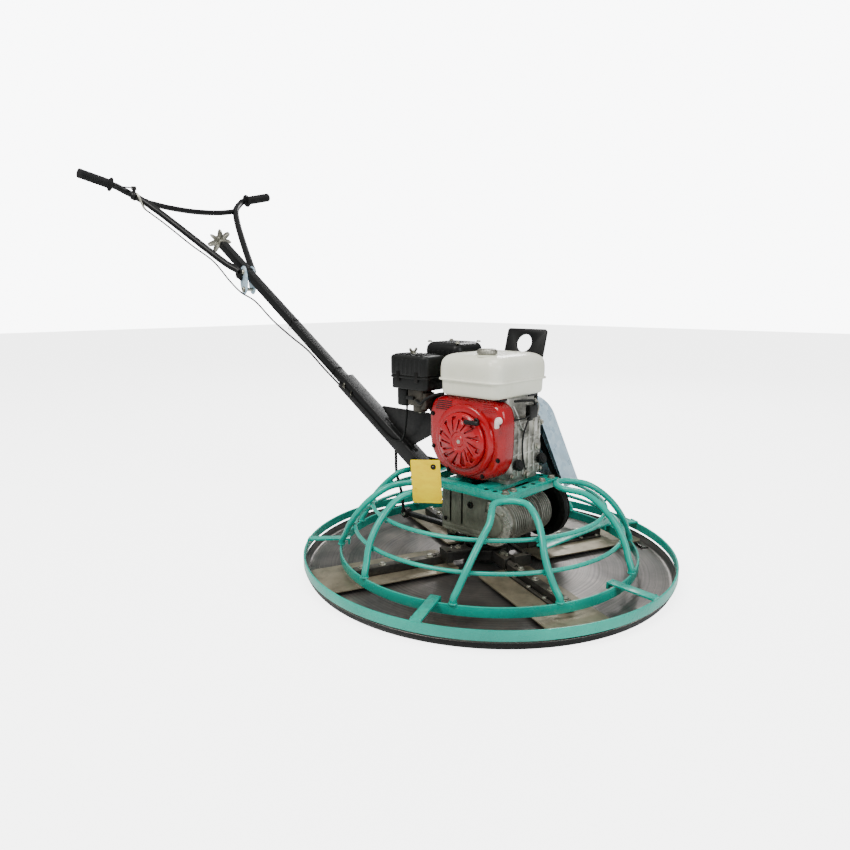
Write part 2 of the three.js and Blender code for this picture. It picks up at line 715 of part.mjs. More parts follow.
// a flanged rubber grip closed over the end of the bar
function grip(side) {
  const start = new THREE.Vector3(...BAR_POINTS.gripStart);
  const end = new THREE.Vector3(...BAR_POINTS.gripEnd);
  const length = start.distanceTo(end);
  const inner = BAR_R + 1.5;
  const profile = [
    [inner, 4], [25, 4], [25, 9], [GRIP_R, 11], [GRIP_R, length + 6], [GRIP_R - 4, length + 9],
    [0, length + 9], [0, length + 1], [inner, length + 1], [inner, 4],
  ];
  const shape = turnZ(profile, 16);
  const turn = new THREE.Quaternion().setFromUnitVectors(
    new THREE.Vector3(0, 0, 1),
    end.clone().sub(start).normalize(),
  );
  shape.applyQuaternion(turn).translate(start.x, start.y, start.z);
  if (side > 0) {
    return shape;
  }
  return fromSolid(toSolid(shape).mirror([1, 0, 0]));
}

// two oval cheeks and their two bolts, which hold the bar on the handle
function barClamp() {
  const pivotZ = hubHeight();
  const cheeks = [-1, 1].map((side) => {
    const oval = new THREE.Shape();
    oval.absellipse(HUB_Y, pivotZ - 28, 23, 49, 0, 2 * Math.PI);
    return plateX(oval, side * 17 - 2, 4, 0, 10);
  });
  const pivot = rodX(6, -24, 24, HUB_Y, pivotZ, 10);
  const lockBolt = rodX(6, -24, 24, HUB_Y, pivotZ - 60, 10);
  return join(...cheeks, pivot, lockBolt);
}

function throttleLever() {
  const { x, y, z } = LEVER;
  const boss = postZ(9, z - 6, z + 6, x, y, 16);
  const blade = block(x - 6, x + 70, y - 5, y + 5, z - 2, z + 3);
  return join(boss, blade, postZ(8, z - 2, z + 8, x + 66, y, 16));
}

function throttleCable() {
  const route = [
    [190, -1418, 998],
    [160, -1350, 950],
    [112, -1245, 868],
    [74, -1172, 812],
    [44, -1118, 742],
    [30, -1078, 706],
    [26, -1000, 676],
    [22, -900, 610],
    [20, -800, 558],
    [19, -720, 520],
    [20, -640, 468],
    [28, -560, 426],
    [28, -440, 350],
    [28, -330, 284],
    [32, -282, 290],
    [46, -250, 360],
    [50, -240, 415],
    [50, -226, 428],
    [50, -213, 428],
  ];
  return smoothTube(route, 3, 40, 6);
}

function hangTag() {
  const sheet = cut(block(-1, 1, -37, 37, -53, 53), rodX(4, -5, 5, 20, 36, 12));
  return sheet.rotateX(rad(4)).rotateZ(rad(TAG.azimuth)).translate(TAG.x, TAG.y, TAG.z);
}

function handle() {
  add('lift_plate', liftPlate(), BLACK);
  add('handle_socket', handleSocket(), BLACK);
  add('handle_tube', handleTube(), BLACK);
  add('star_knob', starKnob(), CAST_GREY);
  add('handlebar', handlebar(), BLACK);
  add('bar_clamp', barClamp(), GALVANISED);
  add('grip_right', grip(1), RUBBER);
  add('grip_left', grip(-1), RUBBER);
  add('throttle_lever', throttleLever(), BLACK);
  add('throttle_cable', throttleCable(), BLACK);
  add('hang_tag', hangTag(), YELLOW);
}

cage();
sideBrace();
mountFrame();
rotor();
gearbox();
beltDrive();
engine();
handle();

export default machine;
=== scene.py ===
"""Looks for a walk-behind power trowel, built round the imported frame.

Lengths in this file are in millimetres until place() turns them into metres.
The origin is the centre of the float pan's underside, +Z is up and -Y points to the operator.
"""

import math

import bmesh
import bpy
from mathutils import Matrix, Vector, noise


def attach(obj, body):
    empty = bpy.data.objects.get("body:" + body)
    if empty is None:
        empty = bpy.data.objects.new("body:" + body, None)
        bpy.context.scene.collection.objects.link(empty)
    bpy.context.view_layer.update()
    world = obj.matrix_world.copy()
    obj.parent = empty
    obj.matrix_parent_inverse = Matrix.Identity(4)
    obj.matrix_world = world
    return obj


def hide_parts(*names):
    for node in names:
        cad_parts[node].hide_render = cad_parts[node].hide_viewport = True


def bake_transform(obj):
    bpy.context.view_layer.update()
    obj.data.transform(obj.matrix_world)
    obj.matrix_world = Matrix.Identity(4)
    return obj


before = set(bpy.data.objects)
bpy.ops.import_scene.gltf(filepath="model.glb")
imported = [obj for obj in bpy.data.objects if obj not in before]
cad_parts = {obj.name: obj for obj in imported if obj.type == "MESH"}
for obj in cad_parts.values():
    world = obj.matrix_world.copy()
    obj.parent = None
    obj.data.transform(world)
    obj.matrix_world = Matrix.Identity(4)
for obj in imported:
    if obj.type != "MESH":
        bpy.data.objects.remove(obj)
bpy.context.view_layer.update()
MM = 0.001
PI = math.pi
X, Y, Z = Vector((1, 0, 0)), Vector((0, 1, 0)), Vector((0, 0, 1))

# ---- camera ---------------------------------------------------------------------------------

CAMERA_AT = Vector((1.3429, 1.0120, 0.6850))
CAMERA_RIGHT = Vector((-0.67693, 0.73605, 0.00057))
CAMERA_UP = Vector((-0.13799, -0.12766, 0.98217))
LENS, SENSOR, FAR = 28.06, 36, 60


def make_camera():
    """The camera, from a solved position and two axes."""
    data = bpy.data.cameras.new("camera")
    data.lens = LENS
    data.sensor_width = SENSOR
    data.clip_end = FAR
    camera = bpy.data.objects.new("camera", data)
    bpy.context.scene.collection.objects.link(camera)
    right = CAMERA_RIGHT.normalized()
    back = right.cross(CAMERA_UP).normalized()
    up = back.cross(right)
    turn = Matrix((right, up, back)).transposed()
    camera.matrix_world = Matrix.Translation(CAMERA_AT) @ turn.to_4x4()
    bpy.context.scene.camera = camera


# ---- shape tools ----------------------------------------------------------------------------

SOFT_EDGE = {"segments": 2, "profile": 0.6, "affect": "EDGES"}
EDGE_ROWS = 4
WASHER_HEIGHT = 1.6


def join_parts(*parts):
    """One list of points and faces out of several."""
    points, faces = [], []
    for more_points, more_faces in parts:
        start = len(points)
        points += [Vector(p) for p in more_points]
        faces += [tuple(i + start for i in f) for f in more_faces]
    return points, faces


def moved(part, matrix):
    """The same part carried by a matrix."""
    points, faces = part
    return [matrix @ Vector(p) for p in points], faces


def frame_on(direction):
    """Two unit vectors square to a direction and to each other."""
    w = Vector(direction).normalized()
    side = X if abs(w.x) < 0.8 else Y
    u = (side - w * side.dot(w)).normalized()
    return u, w.cross(u), w


def smooth_path(points, steps, closed=False):
    """Centripetal Catmull-Rom curve through points, the same curve as the solids use."""
    p = [Vector(q) for q in points]
    count = len(p)
    spans = count if closed else count - 1
    out = []
    for k in range(steps + (0 if closed else 1)):
        t = spans * k / steps
        i = min(int(t), spans - 1)
        w = t - i
        if closed:
            a, b, c, d = (p[(i + j) % count] for j in (-1, 0, 1, 2))
        else:
            b, c = p[i], p[i + 1]
            a = p[i - 1] if i > 0 else b * 2 - c
            d = p[i + 2] if i + 2 < count else c * 2 - b
        t0 = max((b - a).length, 1e-6) ** 0.5
        t1 = max((c - b).length, 1e-6) ** 0.5
        t2 = max((d - c).length, 1e-6) ** 0.5
        m1 = ((b - a) / t0 - (c - a) / (t0 + t1) + (c - b) / t1) * t1
        m2 = ((c - b) / t1 - (d - b) / (t1 + t2) + (d - c) / t2) * t1
        out.append(
            b
            + m1 * w
            + (c * 3 - b * 3 - m1 * 2 - m2) * w * w
            + (b * 2 - c * 2 + m1 + m2) * w * w * w
        )
    return out


def sweep(path, section, closed=False, up=None, scale=None):
    """Carries a closed 2-D section along a path without twist."""
    path = [Vector(p) for p in path]
    n, m = len(path), len(section)
    tangents = []
    for i in range(n):
        a = path[(i - 1) % n] if closed or i else path[0]
        b = path[(i + 1) % n] if closed or i < n - 1 else path[-1]
        tangents.append((b - a).normalized())
    u = (up or frame_on(tangents[0])[0]).normalized()
    points, faces = [], []
    for i in range(n):
        u = (u - tangents[i] * u.dot(tangents[i])).normalized()
        v = tangents[i].cross(u)
        k = scale[i] if scale else 1
        points += [path[i] + u * (a * k) + v * (b * k) for a, b in section]
    for i in range(n if closed else n - 1):
        j = (i + 1) % n
        for k in range(m):
            q = (k + 1) % m
            faces.append((i * m + k, j * m + k, j * m + q, i * m + q))
    if not closed:
        faces.append(tuple(range(m)))
        faces.append(tuple((n - 1) * m + k for k in reversed(range(m))))
    return points, faces


def circle(radius, sides, at=(0, 0)):
    """Points (a, b) round a centre."""
    angles = [2 * PI * k / sides for k in range(sides)]
    return [(radius * math.cos(a) + at[0], radius * math.sin(a) + at[1]) for a in angles]


def tube(path, radius, sides=16, closed=False, scale=None):
    """A round rod along a path."""
    return sweep(path, circle(radius, sides), closed, scale=scale)


def rounded_rect(x0, x1, y0, y1, corner, steps=6):
    """Counter-clockwise loop of (x, y)."""
    corner = min(corner, (x1 - x0) / 2 - 1e-3, (y1 - y0) / 2 - 1e-3)
    loop = []
    for cx, cy, start in ((x1, y0, -90), (x1, y1, 0), (x0, y1, 90), (x0, y0, 180)):
        ox = cx - corner if cx == x1 else cx + corner
        oy = cy - corner if cy == y1 else cy + corner
        for k in range(steps + 1):
            a = math.radians(start + 90 * k / steps)
            loop.append((ox + corner * math.cos(a), oy + corner * math.sin(a)))
    return loop


def loft(loops, cap_low=True, cap_high=True):
    """Skins a stack of loops of 3-D points."""
    m = len(loops[0])
    points = [Vector(p) for loop in loops for p in loop]
    faces = []
    for i in range(len(loops) - 1):
        for k in range(m):
            q = (k + 1) % m
            faces.append((i * m + k, i * m + q, (i + 1) * m + q, (i + 1) * m + k))
    if cap_low:
        faces.append(tuple(reversed(range(m))))
    if cap_high:
        faces.append(tuple((len(loops) - 1) * m + k for k in range(m)))
    return points, faces


def soft_box(x0, x1, y0, y1, z0, z1, corner, edge=3, steps=6):
    """A box with round upright corners and rounded top and bottom edges."""
    loops = []
    for k in range(EDGE_ROWS + 1):
        a = PI / 2 * k / EDGE_ROWS
        loops.append((edge * (1 - math.sin(a)), z0 + edge * (1 - math.cos(a))))
    for k in range(EDGE_ROWS + 1):
        a = PI / 2 * k / EDGE_ROWS
        loops.append((edge * (1 - math.cos(a)), z1 - edge * (1 - math.sin(a))))
    shaped = []
    for inset, z in loops:
        loop = rounded_rect(x0 + inset, x1 - inset, y0 + inset, y1 - inset, max(corner - inset, 0.5), steps)
        shaped.append([(x, y, z) for x, y in loop])
    return loft(shaped)


def box(x0, x1, y0, y1, z0, z1, edge=1.0):
    """A plain bar or block with small rounded edges."""
    bm = bmesh.new()
    bmesh.ops.create_cube(bm, size=1)
    for v in bm.verts:
        v.co = Vector(
            (
                x0 + (v.co.x + 0.5) * (x1 - x0),
                y0 + (v.co.y + 0.5) * (y1 - y0),
                z0 + (v.co.z + 0.5) * (z1 - z0),
            )
        )
    edge = min(edge, 0.45 * min(x1 - x0, y1 - y0, z1 - z0))
    if edge > 0:
        bmesh.ops.bevel(bm, geom=bm.edges[:], offset=edge, **SOFT_EDGE)
    return from_bmesh(bm)


def from_bmesh(bm):
    """Points and faces of a bmesh, which is then freed."""
    bm.verts.index_update()
    part = ([v.co.copy() for v in bm.verts], [tuple(v.index for v in f.verts) for f in bm.faces])
    bm.free()
    return part


def lathe(profile, origin=(0, 0, 0), axis=Z, segments=48, skip=None):
    """Turns (radius, height) pairs about an axis. skip(i, k) leaves out face k of band i."""
    u, v, w = frame_on(axis)
    origin = Vector(origin)
    points, faces, rows = [], [], []
    for r, h in profile:
        if r < 1e-6:
            rows.append([len(points)] * segments)
            points.append(origin + w * h)
        else:
            rows.append(list(range(len(points), len(points) + segments)))
            for k in range(segments):
                a = 2 * PI * k / segments
                points.append(origin + u * (r * math.cos(a)) + v * (r * math.sin(a)) + w * h)
    for i in range(len(rows) - 1):
        for k in range(segments):
            if skip and skip(i, k):
                continue
            q = (k + 1) % segments
            corners = [rows[i][k], rows[i][q], rows[i + 1][q], rows[i + 1][k]]
            face = tuple(dict.fromkeys(corners))
            if len(face) > 2:
                faces.append(face)
    return points, faces


def plate(outline, depth, origin, u, v, holes=(), edge=0.8):
    """A flat plate with holes: an outline in the (u, v) plane, thickened along u x v."""
    u, v = Vector(u).normalized(), Vector(v).normalized()
    w = u.cross(v)
    origin = Vector(origin)
    bm = bmesh.new()
    rims = []
    for loop in (outline, *holes):
        verts = [bm.verts.new(origin + u * a + v * b) for a, b in loop]
        rims += [bm.edges.new((verts[k], verts[(k + 1) % len(verts)])) for k in range(len(verts))]
    bmesh.ops.triangle_fill(bm, use_beauty=True, edges=rims, normal=w)
    bmesh.ops.dissolve_limit(
        bm, angle_limit=0.01, verts=bm.verts[:], edges=[e for e in bm.edges if not e.is_boundary],
    )
    top = bmesh.ops.extrude_face_region(bm, geom=bm.faces[:])
    for item in top["geom"]:
        if isinstance(item, bmesh.types.BMVert):
            item.co += w * depth
    bmesh.ops.recalc_face_normals(bm, faces=bm.faces[:])
    if edge > 0:
        sharp = [e for e in bm.edges if len(e.link_faces) == 2 and e.calc_face_angle(0) > 0.9]
        bmesh.ops.bevel(bm, geom=sharp, offset=edge, clamp_overlap=True, **SOFT_EDGE)
    return from_bmesh(bm)


def hex_bolt(at, normal, across=13, height=6, washer=True):
    """A chamfered hexagon head on a round washer."""
    at, w = Vector(at), Vector(normal).normalized()
    r = across / math.sqrt(3)
    lift = WASHER_HEIGHT if washer else 0
    head = [
        (0, lift + height), (r * 0.72, lift + height), (r * 0.9, lift + height * 0.93),
        (r, lift + height * 0.78), (r, lift), (0, lift),
    ]
    parts = [lathe(list(reversed(head)), at, w, 6)]
    if washer:
        ring = [
            (0, 0), (r * 1.28, 0), (r * 1.32, 0.4), (r * 1.32, 1.2), (r * 1.24, WASHER_HEIGHT),
            (0, WASHER_HEIGHT),
        ]
        parts.append(lathe(ring, at, w, 24))
    return join_parts(*parts)


def weld(path, radius=2.6, seed=1):
    """A rippled bead."""
    scale = [
        0.85 + 0.3 * noise.noise(Vector((i * 0.9, seed * 3.1, 0))) + 0.12 * (i % 2) for i in range(len(path))
    ]
    scale[0] = scale[-1] = 0.35
    return tube(path, radius, 8, scale=scale)


def spin(part, degrees):
    """Turns a part about the upright axis through the origin."""
    return moved(part, Matrix.Rotation(math.radians(degrees), 4, "Z"))


def place(name, part, material, body, replaces=(), smooth=38, solid=0.0):
    """Makes one object from points and faces in millimetres, and hands it to its body."""
    points, faces = part
    mesh = bpy.data.meshes.new(name)
    mesh.from_pydata([Vector(p) * MM for p in points], [], faces)
    bm = bmesh.new()
    bm.from_mesh(mesh)
    bmesh.ops.remove_doubles(bm, verts=bm.verts[:], dist=2e-6)
    bmesh.ops.recalc_face_normals(bm, faces=bm.faces[:])
    bm.to_mesh(mesh)
    bm.free()
    obj = show(mesh, material, smooth)
    if solid:
        thicken(obj, solid * MM)
    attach(obj, body)
    if replaces:
        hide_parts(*replaces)


def place_blend(name, part, material, replaces=()):
    """A cable or rope, made in place as a plain object that belongs to no body."""
    points, faces = part
    mesh = bpy.data.meshes.new(name)
    mesh.from_pydata([Vector(p) * MM for p in points], [], faces)
    obj = show(mesh, material, 50)
    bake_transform(obj)
    if replaces:
        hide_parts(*replaces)


def show(mesh, material, smooth):
    """Shades a mesh, gives it its material and links its object into the scene."""
    mesh.shade_smooth()
    mesh.set_sharp_from_angle(angle=math.radians(smooth))
    mesh.materials.append(material)
    obj = bpy.data.objects.new(mesh.name, mesh)
    bpy.context.scene.collection.objects.link(obj)
    return obj


def thicken(obj, thickness):
    """Gives an open sheet its thickness, inwards, as plain mesh."""
    shell = obj.modifiers.new("thickness", "SOLIDIFY")
    shell.thickness = thickness
    shell.offset = -1
    graph = bpy.context.evaluated_depsgraph_get()
    final = bpy.data.meshes.new_from_object(obj.evaluated_get(graph))
    obj.modifiers.clear()
    obj.data = final


# ---- materials ------------------------------------------------------------------------------


class Net:
    """Short calls for adding nodes to one tree."""

    def __init__(self, tree):
        self.tree = tree

    def new(self, kind, inputs=None, **settings):
        node = self.tree.nodes.new(kind)
        for key, value in settings.items():
            setattr(node, key, value)
        for key, value in (inputs or {}).items():
            socket = node.inputs[key]
            if isinstance(value, bpy.types.NodeSocket):
                self.tree.links.new(value, socket)
            else:
                socket.default_value = value
        return node

    def coords(self, scale=(1, 1, 1)):
        at = self.new("ShaderNodeTexCoord").outputs["Object"]
        if scale == (1, 1, 1):
            return at
        return self.new("ShaderNodeMapping", {"Vector": at, "Scale": scale}).outputs["Vector"]

    def noise(self, scale, detail=4.0, rough=0.55, vector=None, distortion=0.0):
        inputs = {"Scale": scale, "Detail": detail, "Roughness": rough, "Distortion": distortion}
        inputs["Vector"] = vector or self.coords()
        return self.new("ShaderNodeTexNoise", inputs).outputs["Fac"]

    def voronoi(self, scale):
        node = self.new("ShaderNodeTexVoronoi", {"Scale": scale, "Vector": self.coords()})
        return node.outputs["Distance"]

    def math(self, how, a, b=0.5, clamp=False):
        return self.new("ShaderNodeMath", {0: a, 1: b}, operation=how, use_clamp=clamp).outputs[0]

    def span(self, value, low, high, out_low=0.0, out_high=1.0):
        inputs = {"Value": value, "From Min": low, "From Max": high, "To Min": out_low, "To Max": out_high}
        return self.new("ShaderNodeMapRange", inputs, clamp=True).outputs["Result"]

    def blend(self, amount, a, b):
        node = self.new("ShaderNodeMix", data_type="RGBA")
        for socket, value in ((node.inputs[0], amount), (node.inputs[6], a), (node.inputs[7], b)):
            if isinstance(value, bpy.types.NodeSocket):
                self.tree.links.new(value, socket)
            else:
                socket.default_value = value
        return node.outputs[2]

    def bump(self, height, strength, distance):
        inputs = {"Height": height, "Strength": strength, "Distance": distance}
        return self.new("ShaderNodeBump", inputs).outputs["Normal"]

    def call(self, group, **inputs):
        node = self.new("ShaderNodeGroup")
        node.node_tree = group
        for key, value in inputs.items():
            socket = node.inputs[key.replace("_", " ")]
            if isinstance(value, bpy.types.NodeSocket):
                self.tree.links.new(value, socket)
            else:
                socket.default_value = value
        return node.outputs


def group(name, inputs, outputs):
    """A new shader node group with float inputs and given outputs."""
    tree = bpy.data.node_groups.new(name, "ShaderNodeTree")
    for key, value in inputs.items():
        socket = tree.interface.new_socket(key, in_out="INPUT", socket_type="NodeSocketFloat")
        socket.default_value = value
    for key, kind in outputs.items():
        tree.interface.new_socket(key, in_out="OUTPUT", socket_type=kind)
    net = Net(tree)
    return tree, net, net.new("NodeGroupInput").outputs, net.new("NodeGroupOutput").inputs


FLOAT, VECTOR = "NodeSocketFloat", "NodeSocketVector"


def make_edge_wear():
    """Mask of worn outside corners, broken up by noise."""
    tree, net, given, out = group("edge_wear", {"Amount": 0.5, "Scale": 60.0}, {"Mask": FLOAT})
    corner = net.span(net.new("ShaderNodeNewGeometry").outputs["Pointiness"], 0.53, 0.60)
    broken = net.new(
        "ShaderNodeTexNoise", {"Scale": given["Scale"], "Detail": 5.0, "Vector": net.coords()},
    ).outputs["Fac"]
    patchy = net.span(broken, 0.42, 0.62)
    mask = net.math("MULTIPLY", net.math("MULTIPLY", corner, patchy), given["Amount"], clamp=True)
    tree.links.new(mask, out["Mask"])
    return tree


def make_dust():
    """Mask of dust and splashes: thicker near the ground and on faces that look up."""
    tree, net, given, out = group("dust", {"Amount": 0.4, "Reach": 0.3}, {"Mask": FLOAT, "Splash": FLOAT})
    geometry = net.new("ShaderNodeNewGeometry")
    height = net.new("ShaderNodeSeparateXYZ", {0: geometry.outputs["Position"]}).outputs["Z"]
    facing = net.new("ShaderNodeSeparateXYZ", {0: geometry.outputs["Normal"]}).outputs["Z"]
    low = net.math("SUBTRACT", 1.0, net.math("DIVIDE", height, given["Reach"]), clamp=True)
    upward = net.span(facing, 0.2, 1.0, 0.25, 1.0)
    cloud = net.span(net.noise(9.0, 6.0, 0.62), 0.38, 0.7)
    mask = net.math(
        "MULTIPLY", net.math("MULTIPLY", low, upward), net.math("MULTIPLY", cloud, given["Amount"]),
        clamp=True,
    )
    drops = net.span(net.voronoi(95.0), 0.16, 0.08)
    few = net.span(net.noise(14.0, 3.0), 0.52, 0.66)
    splash = net.math(
        "MULTIPLY", net.math("MULTIPLY", drops, few), net.math("MULTIPLY", low, given["Amount"]), clamp=True,
    )
    tree.links.new(mask, out["Mask"])
    tree.links.new(splash, out["Splash"])
    return tree


def make_orange_peel():
    """Slight waviness of sprayed enamel."""
    tree, net, given, out = group("orange_peel", {"Strength": 0.15}, {"Normal": VECTOR})
    height = net.math("ADD", net.noise(420.0, 2.0), net.math("MULTIPLY", net.noise(60.0, 2.0), 1.5))
    bump = net.new("ShaderNodeBump", {"Height": height, "Strength": given["Strength"], "Distance": 0.0004})
    tree.links.new(bump.outputs["Normal"], out["Normal"])
    return tree


def make_cast_grain():
    """Sand-cast surface: coarse grain and shallow hollows."""
    tree, net, given, out = group(
        "cast_grain", {"Strength": 0.4, "Scale": 500.0}, {"Normal": VECTOR, "Shade": FLOAT},
    )
    fine = net.new(
        "ShaderNodeTexNoise", {"Scale": given["Scale"], "Detail": 3.0, "Vector": net.coords()},
    ).outputs["Fac"]
    pits = net.span(net.voronoi(260.0), 0.0, 0.35)
    height = net.math("ADD", fine, net.math("MULTIPLY", pits, 0.6))
    bump = net.new("ShaderNodeBump", {"Height": height, "Strength": given["Strength"], "Distance": 0.0006})
    tree.links.new(bump.outputs["Normal"], out["Normal"])
    tree.links.new(net.span(net.noise(22.0, 5.0), 0.3, 0.7), out["Shade"])
    return tree


EDGE_WEAR = make_edge_wear()
DUST = make_dust()
ORANGE_PEEL = make_orange_peel()
CAST_GRAIN = make_cast_grain()


def rgb(r, g, b):
    """A colour given as 0..255 screen values, made linear."""
    return tuple((c / 255) ** 2.2 for c in (r, g, b)) + (1.0,)


DUST_COLOUR = rgb(176, 168, 150)


def material(name, roughness=0.5, metallic=0.0, coat=0.0, coat_roughness=0.1, specular=0.5):
    """A new material with plain values on its shader, and its node helper."""
    made = bpy.data.materials.new(name)
    made.use_nodes = True
    tree = made.node_tree
    tree.nodes.clear()
    net = Net(tree)
    shader = net.new("ShaderNodeBsdfPrincipled")
    shader.inputs["Roughness"].default_value = roughness
    shader.inputs["Metallic"].default_value = metallic
    shader.inputs["Coat Weight"].default_value = coat
    shader.inputs["Coat Roughness"].default_value = coat_roughness
    shader.inputs["Specular IOR Level"].default_value = specular
    net.new("ShaderNodeOutputMaterial", {"Surface": shader.outputs[0]})
    return made, net, shader


def wire(net, shader, **sockets):
    """Links outputs to the sockets of a shader."""
    for key, value in sockets.items():
        net.tree.links.new(value, shader.inputs[key.replace("_", " ")])


def enamel(
    name, colour, deep, wear=0.5, dust=0.3, reach=0.3, roughness=0.26, coat=0.5, under=rgb(96, 92, 88),
    specular=0.4,
):
    """Glossy paint: slow shifts of shade, chipped corners, dust low down."""
    made, net, shader = material(name, roughness, coat=coat, coat_roughness=0.08, specular=specular)
    shade = net.span(net.noise(7.0, 4.0), 0.3, 0.7)
    base = net.blend(shade, deep, colour)
    worn = net.call(EDGE_WEAR, Amount=wear, Scale=90.0)["Mask"]
    base = net.blend(worn, base, under)
    dusty = net.call(DUST, Amount=dust, Reach=reach)
    base = net.blend(dusty["Mask"], base, DUST_COLOUR)
    base = net.blend(dusty["Splash"], base, rgb(190, 184, 170))
    rough = net.math("ADD", net.span(net.noise(30.0, 5.0), 0.3, 0.7, roughness - 0.06, roughness + 0.09),
                     net.math("MULTIPLY", dusty["Mask"], 0.45), clamp=True)
    wire(net, shader, Base_Color=base, Roughness=rough, Normal=net.call(ORANGE_PEEL, Strength=0.12)["Normal"])
    return made


def casting(name, light, dark, metallic, roughness, grain=0.4, scale=500.0, wear=0.3, dust=0.2, reach=0.4):
    """Sand-cast metal: grainy, oily in patches, rubbed bright on its corners."""
    made, net, shader = material(name, roughness, metallic)
    rough = net.call(CAST_GRAIN, Strength=grain, Scale=scale)
    base = net.blend(rough["Shade"], dark, light)
    oily = net.span(net.noise(5.0, 6.0, 0.6), 0.5, 0.72)
    base = net.blend(net.math("MULTIPLY", oily, 0.55), base, tuple(c * 0.45 for c in dark[:3]) + (1.0,))
    worn = net.call(EDGE_WEAR, Amount=wear, Scale=120.0)["Mask"]
    base = net.blend(worn, base, tuple(min(1, c * 1.7) for c in light[:3]) + (1.0,))
    base = net.blend(net.call(DUST, Amount=dust, Reach=reach)["Mask"], base, DUST_COLOUR)
    wire(net, shader, Base_Color=base, Normal=rough["Normal"],
         Roughness=net.span(oily, 0.0, 1.0, roughness, max(0.15, roughness - 0.25)))
    return made


def brushed(name, light, dark, roughness=0.35, stretch=(1, 1, 40), marks=0.5, metallic=0.9):
    """Bare metal with fine lines along one direction and a few scratches."""
    made, net, shader = material(name, roughness, metallic)
    lines = net.noise(60.0, 6.0, 0.7, net.coords(stretch))
    cloud = net.span(net.noise(11.0, 4.0), 0.3, 0.7)
    base = net.blend(cloud, dark, light)
    base = net.blend(net.math("MULTIPLY", net.span(lines, 0.45, 0.7), marks * 0.5), base, dark)
    wire(net, shader, Base_Color=base, Normal=net.bump(lines, 0.15 * marks, 0.0004),
         Roughness=net.span(lines, 0.3, 0.7, max(0.1, roughness - 0.1), roughness + 0.15))
    return made


def pan_steel():
    """The float pan: rings of trowel marks, cement film, and painted shade that turns every face not facing
    up nearly black.
    """
    made, net, shader = material("pan_steel_look", 0.45, 0.75)
    at = net.new("ShaderNodeSeparateXYZ", {0: net.coords()}).outputs
    radius = net.math(
        "SQRT", net.math("ADD", net.math("MULTIPLY", at[0], at[0]), net.math("MULTIPLY", at[1], at[1])),
    )
    wobble = net.math("ADD", radius, net.math("MULTIPLY", net.noise(4.0, 3.0), 0.02))
    rings = net.new("ShaderNodeTexNoise", {"Scale": 1.0, "Detail": 6.0, "Roughness": 0.75, "Vector": net.new(
        "ShaderNodeCombineXYZ",
        {"X": net.math("MULTIPLY", wobble, 190.0), "Y": 0.0, "Z": 0.0}).outputs[0]}).outputs["Fac"]
    cloud = net.span(net.noise(6.0, 7.0, 0.66, distortion=0.6), 0.36, 0.68)
    base = net.blend(cloud, rgb(92, 88, 86), rgb(132, 126, 120))
    base = net.blend(net.span(rings, 0.42, 0.66), base, rgb(70, 67, 66))
    film = net.span(net.noise(3.2, 8.0, 0.7, distortion=1.2), 0.55, 0.75)
    base = net.blend(net.math("MULTIPLY", film, 0.55), base, rgb(158, 150, 138))
    upward = net.new(
        "ShaderNodeSeparateXYZ", {0: net.new("ShaderNodeNewGeometry").outputs["Normal"]},
    ).outputs[2]
    # Painted shade: faces that do not face up, such as the sides of the rim, are blended to near black.
    base = net.blend(net.span(upward, 0.75, 0.3), base, rgb(20, 19, 19))
    wire(net, shader, Base_Color=base, Normal=net.bump(rings, 0.25, 0.0006),
         Roughness=net.span(net.math("ADD", rings, net.math("MULTIPLY", film, 0.5)), 0.4, 1.2, 0.3, 0.75))
    return made


def blade_steel():
    """Finishing blades: pale rolled steel with drag lines and dried cement."""
    made, net, shader = material("blade_steel_look", 0.42, 0.55)
    drag = net.noise(26.0, 7.0, 0.7, net.coords((1, 1, 30)))
    cloud = net.span(net.noise(9.0, 6.0, 0.65), 0.35, 0.68)
    base = net.blend(cloud, rgb(112, 104, 86), rgb(156, 146, 124))
    base = net.blend(net.math("MULTIPLY", net.span(drag, 0.5, 0.66), 0.5), base, rgb(84, 78, 66))
    cement = net.span(net.noise(15.0, 8.0, 0.72), 0.56, 0.68)
    base = net.blend(net.math("MULTIPLY", cement, 0.6), base, rgb(150, 146, 132))
    height = net.math("ADD", drag, net.math("MULTIPLY", cement, 1.4))
    wire(net, shader, Base_Color=base, Normal=net.bump(height, 0.25, 0.0006),
         Roughness=net.span(cement, 0.0, 1.0, 0.36, 0.8))
    return made


def galvanised():
    """Zinc-coated sheet with large pale spangles."""
    made, net, shader = material("galvanised_look", 0.34, 0.35)
    cells = net.new("ShaderNodeTexVoronoi", {"Scale": 85.0, "Vector": net.coords()}).outputs["Color"]
    tone = net.new("ShaderNodeSeparateColor", {0: cells}).outputs[0]
    base = net.blend(tone, rgb(176, 206, 224), rgb(206, 230, 244))
    base = net.blend(net.span(net.noise(10.0, 6.0), 0.56, 0.75), base, rgb(168, 184, 192))
    worn = net.call(EDGE_WEAR, Amount=0.5, Scale=100.0)["Mask"]
    base = net.blend(worn, base, rgb(120, 126, 130))
    wire(net, shader, Base_Color=base, Roughness=net.span(tone, 0.0, 1.0, 0.26, 0.44),
         Normal=net.bump(net.noise(30.0, 3.0), 0.06, 0.001))
    return made


def rubber():
    """Matt black rubber with scuffed corners."""
    made, net, shader = material("rubber_look", 0.75, specular=0.35)
    grain = net.noise(900.0, 2.0)
    worn = net.call(EDGE_WEAR, Amount=0.5, Scale=140.0)["Mask"]
    base = net.blend(net.span(net.noise(30.0, 5.0), 0.35, 0.7), rgb(8, 9, 9), rgb(18, 19, 19))
    base = net.blend(worn, base, rgb(46, 46, 45))
    wire(net, shader, Base_Color=base, Normal=net.bump(grain, 0.25, 0.0003),
         Roughness=net.span(net.noise(50.0, 4.0), 0.3, 0.7, 0.6, 0.85))
    return made


